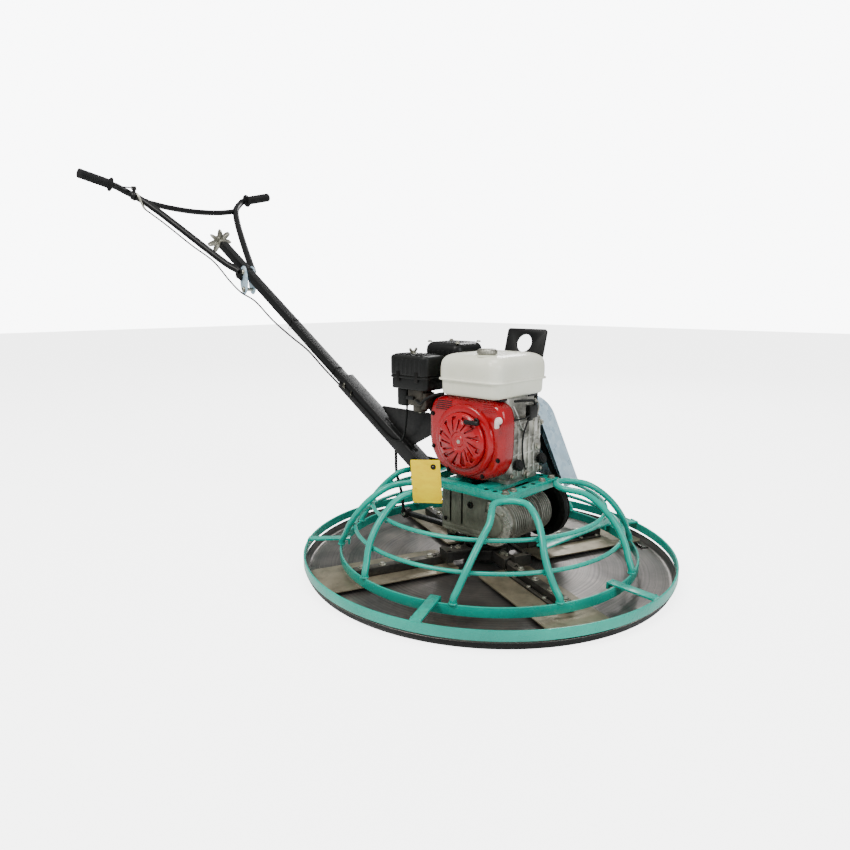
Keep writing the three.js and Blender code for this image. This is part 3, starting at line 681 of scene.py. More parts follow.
def plastic(name, colour, deep, roughness=0.45, grain=0.25, dust=0.15):
    """Moulded plastic with a fine leather-like grain."""
    made, net, shader = material(name, roughness, specular=0.3)
    cells = net.voronoi(950.0)
    base = net.blend(net.span(net.noise(16.0, 5.0), 0.3, 0.7), deep, colour)
    base = net.blend(
        net.call(EDGE_WEAR, Amount=0.45, Scale=130.0)["Mask"], base,
        tuple(min(1, c * 2.5 + 0.02) for c in colour[:3]) + (1,),
    )
    base = net.blend(net.call(DUST, Amount=dust, Reach=0.9)["Mask"], base, DUST_COLOUR)
    wire(net, shader, Base_Color=base, Normal=net.bump(cells, grain, 0.0003),
         Roughness=net.span(net.noise(24.0, 4.0), 0.3, 0.7, roughness - 0.08, roughness + 0.12))
    return made


def card():
    """Printed plastic card, faintly creased, with no lettering."""
    made, net, shader = material("card_look", 0.5, specular=0.15)
    crease = net.noise(24.0, 3.0, vector=net.coords((1, 1, 3)))
    base = net.blend(net.span(crease, 0.35, 0.68), rgb(240, 200, 0), rgb(252, 220, 0))
    base = net.blend(net.span(net.noise(46.0, 6.0), 0.6, 0.78), base, rgb(190, 160, 4))
    wire(net, shader, Base_Color=base, Normal=net.bump(crease, 0.2, 0.001),
         Roughness=net.span(crease, 0.3, 0.7, 0.42, 0.6))
    return made


TEAL = enamel("teal_enamel", rgb(0, 170, 148), rgb(0, 140, 124), wear=0.4, dust=0.05, reach=0.15,
              coat=0.16, under=rgb(50, 64, 60))
RED = enamel("red_enamel", rgb(184, 0, 26), rgb(130, 0, 20), wear=0.15, dust=0.02, reach=0.5,
             roughness=0.22, coat=0.2, under=rgb(90, 20, 24))
CREAM = enamel("tank_enamel", rgb(243, 243, 226), rgb(222, 221, 198), wear=0.12, dust=0.05, reach=0.7,
               roughness=0.3, coat=0.2, under=rgb(150, 148, 130))
BLACK = enamel("black_enamel", rgb(9, 11, 11), rgb(4, 5, 5), wear=0.35, dust=0.03, reach=0.4,
               roughness=0.42, coat=0.06, under=rgb(60, 58, 55), specular=0.25)
IRON = casting(
    "dark_iron", rgb(46, 46, 45), rgb(18, 18, 18), 0.5, 0.5, 0.5, 420.0, wear=0.5, dust=0.3, reach=0.25,
)
GEARCASE = casting(
    "gearcase_iron", rgb(124, 127, 112), rgb(80, 82, 72), 0.3, 0.5, 0.45, 460.0, wear=0.35, dust=0.3,
    reach=0.35,
)
ALLOY = casting(
    "cast_alloy", rgb(200, 198, 188), rgb(140, 138, 128), 0.75, 0.4, 0.4, 520.0, wear=0.4, dust=0.2,
    reach=0.5,
)
ENGINE_ALLOY = casting(
    "engine_alloy", rgb(206, 204, 194), rgb(58, 56, 51), 0.6, 0.4, 0.45, 500.0, wear=0.6, dust=0.2, reach=0.5,
)
# A dark alloy casting for the head fins and the carburettor, much darker than the engine block.
DARK_ALLOY = casting(
    "dark_alloy", rgb(84, 80, 72), rgb(28, 27, 25), 0.55, 0.5, 0.4, 480.0, wear=0.4, dust=0.2, reach=0.6,
)
STEEL = brushed("turned_steel", rgb(206, 204, 198), rgb(140, 138, 132), 0.3)
DARK_STEEL = brushed("dark_steel_look", rgb(52, 51, 50), rgb(24, 24, 23), 0.42)
ZINC = brushed("zinc_bolts", rgb(190, 188, 174), rgb(132, 130, 118), 0.3, (1, 1, 1), 0.4)
CAP_STEEL = casting(
    "satin_alloy", rgb(164, 162, 150), rgb(110, 108, 98), 0.7, 0.38, 0.2, 700.0, wear=0.4, dust=0.0,
)
PAN = pan_steel()
BLADES = blade_steel()
ZINC_SHEET = galvanised()
RUBBER = rubber()
PLASTIC = plastic("black_plastic_look", rgb(9, 13, 12), rgb(4, 7, 6), dust=0.03)
PALE_PLASTIC = plastic("pale_plastic_look", rgb(236, 214, 206), rgb(214, 190, 184), 0.35, 0.08, 0.05)
CARD = card()

# ---- guard cage -----------------------------------------------------------------------------

OUTER_BAND = (480, 24, 47)  # outside radius, underside, top
MIDDLE_BAND = (387.5, 26, 50)
BAND_THICK = 5
LOW_ROD, HIGH_ROD = (346, 107), (301, 165)  # radius, height
ROD_RADIUS, LEG_RADIUS = 5, 8
FOOT_RADIUS = 366
LOW_CROWN = 240  # a crown further out than this is held lower
LEAN_SHARE = 0.55  # the share of a leg that takes up its lean
STRAP_WIDTH = 25
# azimuth, radius of the crown, sideways lean of the crown
HAIRPINS = ((44, 196, 26), (117, 176, 0), (193, 268, 0), (270, 276, 0), (333, 165, 0))
STRAPS = (20, 87, 153, 236, 310)


def band(outer, low, top):
    """A hoop of flat bar with rounded edges."""
    inner = outer - BAND_THICK
    edge = 1.4
    profile = [
        (inner, low + edge), (inner + edge, low), (outer - edge, low), (outer - 0.4, low + 0.4),
        (outer, low + edge), (outer, top - edge), (outer - 0.4, top - 0.4), (outer - edge, top),
        (inner + edge, top), (inner, top - edge), (inner, low + edge),
    ]
    return lathe(profile, segments=180)


def strap():
    """A flat bar from the outer band over the middle band, its inner end turned down."""
    line = [(479, 46.5), (478.6, 51.6), (366, 55.6), (364.6, 54.6), (364, 52), (364, 39)]
    under = [(369, 39), (369, 50.2), (370, 50.8), (476, 46.8)]
    part = plate(line + under, STRAP_WIDTH, (0, STRAP_WIDTH / 2, 0), X, Z, edge=0.9)
    beads = [
        weld([(474 - 0.3 * k, s * (12.1 - 0.2 * k), 51.4) for k in range(12)], 2.4, k)
        for k, s in enumerate((-1, 1))
    ]
    cross = weld([(475.5, y, 50.6) for y in range(-12, 13, 3)], 2.6, 5)
    return join_parts(part, *beads, cross)


def hairpin_path(crown, lean):
    """Up from one foot, over the crown and down to the other."""
    side = [
        (FOOT_RADIUS, 114, 49), (365, 112.6, 61), (358, 103, 80), (349, 90, 110), (332, 77, 142),
        (309, 66, 172), (280, 54, 198), (248, 46, 215),
    ]
    if crown < LOW_CROWN:
        half = side + [(crown + 22, 38, 221), (crown + 6, 22, 222)]
    else:
        half = side[:5] + [(crown + 15, 42, 192), (crown + 4, 22, 199)]

    def lean_at(x):
        part = min(1.0, (FOOT_RADIUS - x) / (LEAN_SHARE * (FOOT_RADIUS - crown)))
        return lean * part * part * (3 - 2 * part)

    near = [(x, y + lean_at(x), z) for x, y, z in half]
    far = [(x, -y + lean_at(x), z) for x, y, z in reversed(half)]
    return smooth_path(near + [(crown, lean, half[-1][2])] + far, 120)


def joint_welds(path, seed):
    """Beads where a hairpin stands on the middle band and crosses the two rod rings."""
    beads = []
    for ring_r, ring_z in (LOW_ROD, HIGH_ROD):
        for leg in (path[:60], path[60:]):
            near = min(leg, key=lambda p: (math.hypot(p.x, p.y) - ring_r) ** 2 + (p.z - ring_z) ** 2)
            out = Vector((near.x, near.y, 0)).normalized()
            along = Z.cross(out)
            touch = Vector((out.x * ring_r, out.y * ring_r, ring_z)) + out * 4.5
            for lift in (-4.5, 4.5):
                line = [touch + along * t + Z * lift for t in (-8, -5, -2, 0, 2, 5, 8)]
                beads.append(weld(line, 2.3, seed + lift))
    for foot in (path[0], path[-1]):
        ring = [foot + Vector((x, y, 2.4)) for x, y in circle(LEG_RADIUS, 20)]
        beads.append(tube(ring, 2.2, 7, closed=True))
    return beads


def cage():
    """Two flat bands, two rods, five hairpin legs and five straps."""
    straps = [spin(strap(), a) for a in STRAPS]
    place("guard_band_outer", band(*OUTER_BAND), TEAL, "chassis", ["outer_guard_ring"])
    place("guard_straps", join_parts(*straps), TEAL, "chassis")
    place("guard_band_middle", band(*MIDDLE_BAND), TEAL, "chassis", ["middle_guard_ring"])
    for name, node, (r, z) in (
        ("rod_ring_low", "lower_rod_ring", LOW_ROD), ("rod_ring_high", "upper_rod_ring", HIGH_ROD),
    ):
        ring = [(x, y, z) for x, y in circle(r, 160)]
        place(name, tube(ring, ROD_RADIUS, 14, closed=True), TEAL, "chassis", [node])
    for i, (azimuth, crown, lean) in enumerate(HAIRPINS):
        path = hairpin_path(crown, lean)
        leg = join_parts(tube(path, LEG_RADIUS, 18), *joint_welds(path, i * 7))
        place(f"hairpin_{i + 1}", spin(leg, azimuth), TEAL, "chassis", [f"hairpin_leg_{i + 1}"])


def side_brace():
    """A flat bar across the guard beside the gearcase."""
    a, b = Vector((140, 259, 143)), Vector((-200, 257, 122))
    along = (b - a).normalized()
    length = (b - a).length
    bar = moved(
        box(0, length, -14, 14, -2.5, 2.5, 1.1),
        Matrix.Translation(a) @ along.to_track_quat("X", "Z").to_matrix().to_4x4(),
    )
    place("brace_bar", bar, TEAL, "chassis", ["side_brace"])


def mount_frame():
    """The welded plate frame that the engine stands on."""
    left, right, back, front, low, top = -118, 112, -150, 142, 208, 228
    rails = [
        box(left, left + 30, back, front, low, top, 1.8), box(right - 30, right, back, front, low, top, 1.8),
        box(left + 28, right - 28, back, back + 30, low, top, 1.8),
        box(left + 28, right - 28, front - 30, front, low, top, 1.8),
        box(left + 28, right - 28, -72, -36, low, top, 1.8),
        box(left + 28, right - 28, 28, 64, low, top, 1.8),
    ]
    beads = []
    for x in (left + 30.5, right - 30.5):
        for y0, y1 in ((back, back + 30), (-72, -36), (28, 64), (front - 30, front)):
            beads.append(weld([(x, y, top + 0.1) for y in range(y0 + 3, y1 - 2, 4)], 2.0, x + y0))
    place("mount_rails", join_parts(*rails, *beads), TEAL, "chassis", ["mount_frame"])
    bolts = []
    for x in (-103, 97):
        for y in (-135, 127):
            bolts.append(hex_bolt((x, y, top), Z, 14, 6))
    for x in (-60, 66):
        bolts.append(hex_bolt((x, 127, top), Z, 13, 6))
    place("rail_bolts", join_parts(*bolts), ZINC, "chassis")
    # Painted shade: flat dark steel discs on the solid rails stand in for the dark insides of bolt holes.
    slots = [lathe([(0, 0), (6, 0), (6, 0.5), (4.4, 0.5), (4.4, 0.12), (0, 0.12)], (x, y, top + 0.02), Z, 24)
             for x, y in ((97, 96), (97, 70), (-103, 96), (20, 127), (-20, 127))]
    place("rail_hole_shade", join_parts(*slots), DARK_STEEL, "chassis")


# ---- rotor ----------------------------------------------------------------------------------

ARM_Z = 31
ARM_FIRST = -23  # azimuth of the first arm
CLIP_OFFSET = 13.8  # the pan clips stand this many degrees behind the arms
BLADE_LOW, BLADE_THICK = 11, 3


def rotor():
    """The pan, the hub and its four arms with their blades."""
    profile = [
        (0, 0), (462, 0), (466.4, 0.4), (469, 1.8), (471.4, 5), (477.6, 18), (477.9, 19.2), (477.2, 19.9),
        (475.6, 19.7), (474.6, 18.4), (468.4, 6), (466, 3.8), (463, 3), (458, 3), (300, 3), (290, 3.4),
        (284, 3.4), (274, 3), (0, 3),
    ]
    place("pan_disc", lathe(profile, segments=160), PAN, "rotor", ["float_pan"])
    clips = []
    for k in range(4):
        clip = [box(440, 463, -14, 14, 3, 6, 0.8), box(440, 444, -14, 14, 3, 10.6, 0.8)]
        clips.append(spin(join_parts(*clip), ARM_FIRST - CLIP_OFFSET + 90 * k))
    place("pan_clips", join_parts(*clips), PAN, "rotor")
    hub = [
        lathe(
            [
                (15.4, 18), (58, 18), (60, 20), (60, 44), (58, 46), (40, 46), (38, 47.5), (24, 47.5),
                (15.4, 46), (15.4, 18),
            ],
            segments=64,
        )
    ]
    bolts = []
    for k in range(4):
        turn = ARM_FIRST + 90 * k
        boss = box(44, 118, -17, 17, ARM_Z - 13, ARM_Z + 15, 4)
        collar = lathe(
            [(10.4, 104), (15.5, 104), (16.6, 105), (16.6, 117), (15.5, 118), (10.4, 118), (10.4, 104)],
            (0, 0, ARM_Z + 0.5), X, 32,
        )
        hub += [spin(boss, turn), spin(collar, turn)]
        bolts.append(spin(hex_bolt((84, 0, ARM_Z + 15), Z, 13, 5), turn))
        bolts.append(
            spin(
                lathe(
                    [(0, 0), (3.6, 0), (3.6, 3), (2.2, 4), (2.8, 6), (2, 8), (0, 8)], (104, 0, ARM_Z + 15), Z,
                    16,
                ),
                turn,
            )
        )
    place("spider_casting", join_parts(*hub), IRON, "rotor", ["spider"])
    place("spider_bolts", join_parts(*bolts), ZINC, "rotor")
    for k in range(4):
        arm(k)


def arm(k):
    """One arm with its lever, blade, stiffener and bolts."""
    turn = ARM_FIRST + 90 * k
    body = f"arm_{k + 1}"
    beam = box(122, 370, -12, 12, 14.6, 36, 3)
    nose = box(352, 370, -9, 9, 16, 34, 5)
    shaft = lathe([(0, 72), (9, 72), (10, 73), (10, 150), (0, 150)], (0, 0, ARM_Z), X, 32)
    lever = box(122, 140, 0, 48, 28, 57.6, 3)
    finger = box(22, 140, 36, 48, 51, 57.6, 1.6)
    rib = plate([(0, 0), (60, 0), (0, 7)], 6, (140, 6, 34), X, Z, edge=0.6)
    part = join_parts(beam, nose, shaft, lever, finger, rib)
    place(f"arm_casting_{k + 1}", spin(part, turn), IRON, body, [f"trowel_arm_{k + 1}"])
    outline = rounded_rect(108, 455, -89, 61, 14, 8)
    sheet = plate(outline, BLADE_THICK, (0, 0, BLADE_LOW), X, Y, edge=0.5)
    place(f"blade_{k + 1}", spin(sheet, turn), BLADES, body, [f"trowel_blade_{k + 1}"])
    bar = box(150, 362, -24, -12.4, 14.4, 19, 1)
    bolts = []
    for x in (168, 232, 296, 350):
        bolts.append(hex_bolt((x, 0, 36), Z, 12, 5))
        bolts.append(hex_bolt((x, -18, 19), Z, 10, 4, washer=False))
    place(f"arm_bolts_{k + 1}", spin(join_parts(*bolts), turn), ZINC, body)
    place(f"blade_stiffener_{k + 1}", spin(bar, turn), IRON, body)


# ---- gearbox --------------------------------------------------------------------------------

WORM = (62, 128)  # y and z of the worm shaft
CRANK = (-10, 334)  # y and z of the crankshaft
CASE = (-72, 78, -97, 46)
COVER_LOW = 87.6
BARREL_CORE, BARREL_FIN = 46, 58  # radii at the root and the tip of a cooling fin
FIN_STEP = 8.4


def gearbox():
    """The gearcase with its cover, plugs, breather and bolts."""
    case = [soft_box(*CASE, 104, 207, 16, 5), soft_box(*CASE, 96, 107, 16, 1.5)]
    case.append(soft_box(-69, 75, -94, 43, 198, 207, 15, 2))
    for y in (-60, -22):
        case.append(box(77, 78, y - 3, y + 3, 112, 196, 0.4))
    boss = lathe([(0, -2), (15, -2), (15, 1.4), (13.5, 2.6), (0, 2.6)], (75.3, 6, 170), X, 40)
    small = lathe([(0, -2), (9, -2), (9, 1.2), (8, 2.2), (0, 2.2)], (75.7, -76, 118), X, 32)
    place(
        "gearcase", join_parts(*case, boss, small), GEARCASE, "chassis", ["gearbox_housing"],
    )
    plug = lathe([(0, 0), (9.5, 0), (9.5, 3), (8.4, 4), (4.6, 4), (4.6, 1.2), (0, 1.2)], (77.9, 6, 170), X, 6)
    drain = lathe([(0, 0), (6, 0), (6, 3), (5, 3.6), (0, 3.6)], (77.9, -76, 118), X, 6)
    place("gearcase_plugs", join_parts(plug, drain), DARK_STEEL, "chassis")
    cover = [soft_box(*CASE, COVER_LOW, 95.6, 16, 1.6)]
    for s in (-1, 1):
        lug = plate(
            [(-92, 66), (-90, 65), (-70, 65), (-68, 67), (-68, 88), (-92, 88)], 12, (s * 44 - 6, 0, 0), Y, Z,
            edge=1,
        )
        cover.append(lug)
    cover.append(lathe([(0, -50), (5, -50), (5, 50), (0, 50)], (0, -80, 76), X, 24))
    place("gearcase_cover", join_parts(*cover), GEARCASE, "chassis", ["gearbox_cover"])
    bolts = []
    for x in (-60, -22, 26, 66):
        for y in (-87, 36):
            bolts.append(hex_bolt((x, y, COVER_LOW), -Z, 10, 4.5))
    for y in (-50, -8):
        for x in (-61, 67):
            bolts.append(hex_bolt((x, y, COVER_LOW), -Z, 10, 4.5))
    for s in (-1, 1):
        bolts.append(hex_bolt((s * 50, -80, 76), X * s, 10, 4, washer=False))
    place("gearcase_bolts", join_parts(*bolts), ZINC, "chassis")
    breather = lathe(
        [(0, 0), (7, 0), (7, 4), (5, 5), (5, 9), (8, 10), (8, 15), (6, 17), (0, 17)], (52, -30, 190), Z, 24,
    )
    place("gearcase_breather", breather, ZINC, "chassis")
    input_barrel()
    pitch_yoke()


def input_barrel():
    """The finned barrel round the worm shaft."""
    y, z = WORM
    left = [(22, -128), (54, -128), (56, -126.5), (57.6, -125)]
    x, fins = -124.5, []
    while x < -76:
        fins += [(57.6, x), (BARREL_FIN, x + 0.6), (BARREL_FIN, x + 3.0), (57.4, x + 3.6)]
        fins += [(BARREL_CORE, x + 4.4), (BARREL_CORE, x + 7.0), (57.4, x + 7.8)]
        x += FIN_STEP
    profile = left + fins + [(BARREL_CORE, -73), (22, -73), (22, -128)]
    barrel = lathe(profile, (0, y, z), X, 72)
    right = [
        (24, 44), (50, 44), (52, 46), (52, 60), (56, 61), (57, 62), (34, 62), (34, 60.2), (24, 60.2),
        (24, 44),
    ]
    neck = lathe(right, (0, y, z), X, 72)
    wall = 46.6  # where the gearcase ends and the half-round fins start

    def arc(radius, degrees):
        turns = [math.radians(a) for a in degrees]
        return [(math.cos(a) * radius + y, math.sin(a) * radius + z) for a in turns]

    fronts, x = [], -66
    while x < 40:
        outline = arc(BARREL_FIN, range(-72, 73, 6)) + arc(40, range(62, -63, -6))
        clipped = [(max(wall, a), max(90, b)) for a, b in outline]
        fronts.append(plate(clipped, 3.4, (x, 0, 0), Y, Z, edge=0.7))
        x += FIN_STEP
    core = arc(49, range(-70, 71, 7)) + [(wall, z + 30), (wall, z - 30)]
    fronts.append(plate(core, 128, (-72, 0, 0), Y, Z, edge=0.5))
    place(
        "input_barrel", join_parts(barrel, neck, *fronts), ALLOY, "chassis",
        ["input_housing"],
    )
    cap = lathe(
        [(0, 60.4), (34, 60.4), (34, 68), (32, 70), (26, 70.8), (12, 70.8), (10, 69), (0, 69)], (0, y, z), X,
        64,
    )
    place("input_cap", cap, GEARCASE, "chassis")
    bolts = []
    for k in range(4):
        a = math.radians(45 + 90 * k)
        bolts.append(hex_bolt((62, y + 46 * math.cos(a) * 0.98, z + 46 * math.sin(a)), X, 8, 4))
    place("input_cap_bolts", join_parts(*bolts), ZINC, "chassis")


def pitch_yoke():
    """The forked lever that presses on the pressure plate."""
    y, z, tip = -80, 76, -270
    lever = plate([(tip, z - 6), (y, z - 6), (y, z + 6), (tip, z + 6)], 15, (20, 0, 0), Y, Z, edge=2)
    eye = lathe([(4.4, 18), (13, 18), (14, 19), (14, 36), (13, 37), (4.4, 37), (4.4, 18)], (0, tip, z), X, 40)
    knuckle = lathe(
        [(5.4, -37), (9.4, -37), (10, -36.4), (10, 36.4), (9.4, 37), (5.4, 37), (5.4, -37)], (0, y, z), X, 40,
    )
    tines = [box(s * 24 - 4, s * 24 + 4, y + 6, 12, z - 8.4, z + 1, 1.2) for s in (-1, 1)]
    place("yoke_lever", join_parts(lever, eye, knuckle, *tines), BLACK, "yoke", ["pitch_yoke"])
    pin = [
        lathe([(0, 14), (7, 14), (7, 17.6), (0, 17.6)], (0, tip, z), X, 6),
        lathe([(0, 17.6), (4, 17.6), (4, 40), (0, 40)], (0, tip, z), X, 24),
        lathe([(0, 37.4), (7, 37.4), (7, 42), (5.6, 43), (0, 43)], (0, tip, z), X, 6),
    ]
    place("yoke_pin", join_parts(*pin), ZINC, "yoke")


# ---- belt drive -----------------------------------------------------------------------------

BELT_X = -161
GUARD_TOP = (-10, 340)  # y and z of the centre of the guard's upper curve
GUARD_LOW_RADIUS, GUARD_TOP_RADIUS, GUARD_FOOT = 108.0, 82.0, 198.3
SHEET_THICK = 1.8


def pulley_profile(radius, bore):
    """Half section of a V-groove pulley, as (radius, along) pairs."""
    return [
        (bore, -13), (bore + 8, -13), (bore + 9, -12), (bore + 9, -6), (radius - 18, -6), (radius - 17, -13),
        (radius - 1, -13), (radius, -12.2), (radius, -10.4), (radius - 1, -9.6), (radius - 14, -7.4),
        (radius - 14, 7.4), (radius - 1, 9.6), (radius, 10.4), (radius, 12.2), (radius - 1, 13),
        (radius - 17, 13), (radius - 18, 6), (bore + 9, 6), (bore + 9, 12), (bore + 8, 13), (bore, 13),
        (bore, -13),
    ]


def belt_loop(big_r, small_r, count=72):
    """Points round the two pulleys in the plane of the belt."""
    dy, dz = CRANK[0] - WORM[0], CRANK[1] - WORM[1]
    along = math.atan2(dz, dy)
    opening = math.acos((big_r - small_r) / math.hypot(dy, dz))
    loop = []
    for k in range(count // 2 + 1):
        a = along - opening + 2 * opening * k / (count // 2)
        loop.append(Vector((BELT_X, CRANK[0] + small_r * math.cos(a), CRANK[1] + small_r * math.sin(a))))
    for k in range(count // 2 + 1):
        a = along + opening + (2 * PI - 2 * opening) * k / (count // 2)
        loop.append(Vector((BELT_X, WORM[0] + big_r * math.cos(a), WORM[1] + big_r * math.sin(a))))
    dense = []
    for i, p in enumerate(loop):
        q = loop[(i + 1) % len(loop)]
        pieces = max(1, int((q - p).length / 9))
        dense += [p + (q - p) * (j / pieces) for j in range(pieces)]
    return dense


def belt_drive():
    """Two pulleys, the belt and the cover over them."""
    big = lathe(pulley_profile(84, 12.4), (BELT_X, *WORM), X, 96)
    place("pulley_driven", big, BLACK, "worm", ["driven_pulley"])
    nut = [lathe([(0, -27), (7, -27), (9, -25.6), (9, -19), (0, -19)], (BELT_X, *WORM), X, 6),
           lathe([(0, -19), (15, -19), (15, -15), (17, -13), (0, -13)], (BELT_X, *WORM), X, 36)]
    place("pulley_nut", join_parts(*nut), ZINC, "worm")
    small = lathe(pulley_profile(50, 13.4), (BELT_X, *CRANK), X, 80)
    place("clutch_drum", small, DARK_STEEL, "crank", ["clutch_pulley"])
    face = lathe(
        [(0, -20.6), (8, -20.6), (10, -19.4), (10, -14), (30, -13.6), (31, -13), (0, -13)], (BELT_X, *CRANK),
        X, 36,
    )
    place("clutch_nut", face, ZINC, "crank")
    section = [(4.6, -5.2), (-4.8, -7), (-5.2, -6.6), (-5.2, 6.6), (-4.8, 7), (4.6, 5.2)]
    path = belt_loop(78, 44)
    inward = Vector((0, *CRANK)) - Vector((0, path[0].y, path[0].z))
    belt = sweep(path, section, closed=True, up=inward)
    place("belt", belt, RUBBER, "chassis", ["v_belt"], smooth=50)
    belt_guard()


def belt_guard():
    """A pressed sheet cover with rounded folds, open below and towards the engine."""
    dy, dz = GUARD_TOP[0] - WORM[0], GUARD_TOP[1] - WORM[1]
    along = math.atan2(dz, dy)
    opening = math.acos((GUARD_LOW_RADIUS - GUARD_TOP_RADIUS) / math.hypot(dy, dz))
    crown = Vector((0, *GUARD_TOP))
    rim = []
    for sign in (-1, 1):
        a = along + sign * opening
        n = Vector((0, math.cos(a), math.sin(a)))
        foot = Vector((0, *WORM)) + n * GUARD_LOW_RADIUS
        head = crown + n * GUARD_TOP_RADIUS
        t = (GUARD_FOOT - foot.z) / (head.z - foot.z)
        start = foot + (head - foot) * t
        line = [(start + (head - start) * (k / 8), n) for k in range(8)]
        if sign < 0:
            rim += line
            for k in range(25):
                b = a + 2 * opening * k / 24
                m = Vector((0, math.cos(b), math.sin(b)))
                rim.append((crown + m * GUARD_TOP_RADIUS, m))
        else:
            rim += list(reversed(line))
    rows = [
        (-139.4, 0), (-141, 0), (-206, 0), (-211, -0.8), (-215, -2.8), (-218, -6), (-219.4, -9.5),
        (-219.8, -14),
    ]
    points, faces = [], []
    for x, inset in rows:
        points += [Vector((x, 0, 0)) + p + n * inset for p, n in rim]
    m = len(rim)
    for i in range(len(rows) - 1):
        for k in range(m - 1):
            faces.append((i * m + k, i * m + k + 1, (i + 1) * m + k + 1, (i + 1) * m + k))
    faces.append(tuple((len(rows) - 1) * m + k for k in range(m)))
    place(
        "guard_sheet", (points, faces), ZINC_SHEET, "chassis", ["belt_guard"],
        solid=SHEET_THICK, smooth=30,
    )
    bracket = plate(
        [(-138.8, 300), (-138.8, 340), (-128, 340), (-112, 330), (-112, 308), (-128, 300)], 2, (0, -60, 0), X,
        Z, edge=0.5,
    )
    place("guard_bracket", bracket, ZINC_SHEET, "chassis")


# ---- engine ---------------------------------------------------------------------------------

ENGINE_FOOT = 228.4
STARTER_AT = (CRANK[0] - 3, CRANK[1] + 2)  # y and z of the starter's centre
PULL_AT = (32, 390)  # y and z of the starter rope
ROPE_RADIUS = 2.4
COVER_ROUNDING = 16
PRESSED_THICK = 1.6
SLOT_TWIST = 0.26  # radians that a radial slot turns from its outer to its inner end


def crankcase():
    """The engine block with its ribs, fillers, switch box, linkage and wires."""
    left, right, base = -104, 36, ENGINE_FOOT
    parts = [
        soft_box(left + 4, 34, -88, 88, base, base + 12, 10, 2.5),
        soft_box(left, right, -82, 95, base + 10, base + 160, 14, 5),
        soft_box(left + 10, 30, -70, 78, base + 155, 445.6, 12, 5),
        lathe(
            [(40, -110), (70, -110), (73, -108.5), (74, -105), (74, -94), (40, -94), (40, -110)], (0, *CRANK),
            X, 72,
        ),
        lathe(
            [(14, -113), (24, -113), (26, -111), (26, -104), (42, -104), (42, -100), (14, -100), (14, -113)],
            (0, *CRANK), X, 56,
        ),
    ]
    for k in range(5):
        x = left + 16 + 23 * k
        parts.append(box(x, x + 6, 90, 99, base + 20, base + 150, 1.6))
    for z in (262, 300, 338):
        parts.append(box(left + 10, right - 10, 92, 97, z, z + 5, 1.2))
    parts.append(lathe([(0, 0), (19, 0), (19, 3.2), (17, 4.6), (8, 4.6), (0, 4.6)], (-74, 94.4, 312), Y, 40))
    place("engine_block", join_parts(*parts), ENGINE_ALLOY, "chassis", ["crankcase"])
    bolts = []
    for k in range(6):
        a = math.radians(25 + 60 * k)
        bolts.append(hex_bolt((-110, CRANK[0] + 64 * math.cos(a), CRANK[1] + 64 * math.sin(a)), -X, 10, 5))
    for x, z in ((-96, 372), (28, 372), (-96, 250), (28, 250)):
        bolts.append(hex_bolt((x, 95, z), Y, 10, 4.5))
    for x in (-88, 20):
        for y in (-80, 80):
            bolts.append(hex_bolt((x, y, base + 12), Z, 12, 5))
    bolts.append(hex_bolt((-28, 99, 247), Y, 15, 8))
    bolts.append(hex_bolt((-74, 99, 312), Y, 12, 5))
    place("engine_bolts", join_parts(*bolts), ZINC, "chassis")
    filler = [
        (0, 0), (11, 0), (11, 6), (14, 7), (14.6, 8), (14.6, 15), (13.6, 16.4), (9, 16.8), (8.4, 18), (0, 18),
    ]
    fillers = [lathe(filler, (x, 95, 274), Y + Z * 0.45, 12) for x in (-90, 14)]
    place("oil_fillers", join_parts(*fillers), PLASTIC, "chassis")
    switch = [soft_box(-56, -22, 95, 112, 392, 424, 4, 2), box(-46, -32, 94, 104, 384, 394, 1)]
    place("oil_alarm_box", join_parts(*switch), PLASTIC, "chassis")
    governor = [
        tube(smooth_path([(-66, 97, 388), (-72, 101, 404), (-70, 103, 424), (-58, 99, 438)], 24), 2.2, 10),
        box(-74, -62, 96, 99, 352, 392, 0.8),
        tube(smooth_path([(-20, 99, 360), (4, 103, 372), (20, 102, 404), (30, 96, 428)], 30), 2.4, 10),
    ]
    coil = [(-60 + k * 0.5, 101 + 3 * math.cos(k * 0.9), 430 + 3 * math.sin(k * 0.9)) for k in range(90)]
    governor.append(tube(coil, 0.8, 6))
    place("governor_linkage", join_parts(*governor), STEEL, "chassis")
    runs = (  # route, steps, radius, sides
        ([(-24, 108, 396), (-6, 112, 380), (2, 108, 350), (-4, 104, 300), (-20, 102, 262)], 40, 2.2, 8),
        ([(-24, 108, 400), (10, 116, 398), (30, 110, 396), (40, 103, 394)], 30, 2.0, 8),
        ([(-48, 108, 420), (-40, 108, 434), (-10, 104, 438), (20, 92, 438)], 30, 3.2, 10),
    )
    wires = [tube(smooth_path(route, steps), radius, sides) for route, steps, radius, sides in runs]
    place("engine_wires", join_parts(*wires), RUBBER, "chassis")


def cylinder_head():
    """Cooling fins, and the boot and lead of the plug."""
    parts = [box(-78, 30, -176, -86, 318, 396, 3)]
    for k in range(12):
        y = -170.5 + k * 7
        parts.append(soft_box(-84, 34, y, y + 2.6, 312, 404, 1.2, 1.1, 3))
    parts.append(soft_box(-60, 14, -176, -171.4, 330, 388, 2, 1.6, 4))
    place("head_fins", join_parts(*parts), DARK_ALLOY, "chassis", ["cylinder_head"])
    boot_profile = [(0, 0), (8, 0), (9, 2), (9, 16), (7, 19), (7, 30), (9, 33), (9, 40), (7, 44), (0, 44)]
    boot = lathe(boot_profile, (-26, -172, 352), -Y, 28)
    lead = [
        (-26, -210, 352), (-26, -216, 362), (-10, -214, 384), (20, -196, 398), (34, -160, 420),
        (40, -112, 420),
    ]
    place(
        "plug_boot", join_parts(boot, tube(smooth_path(lead, 50), 3.4, 10)), RUBBER, "chassis",
    )


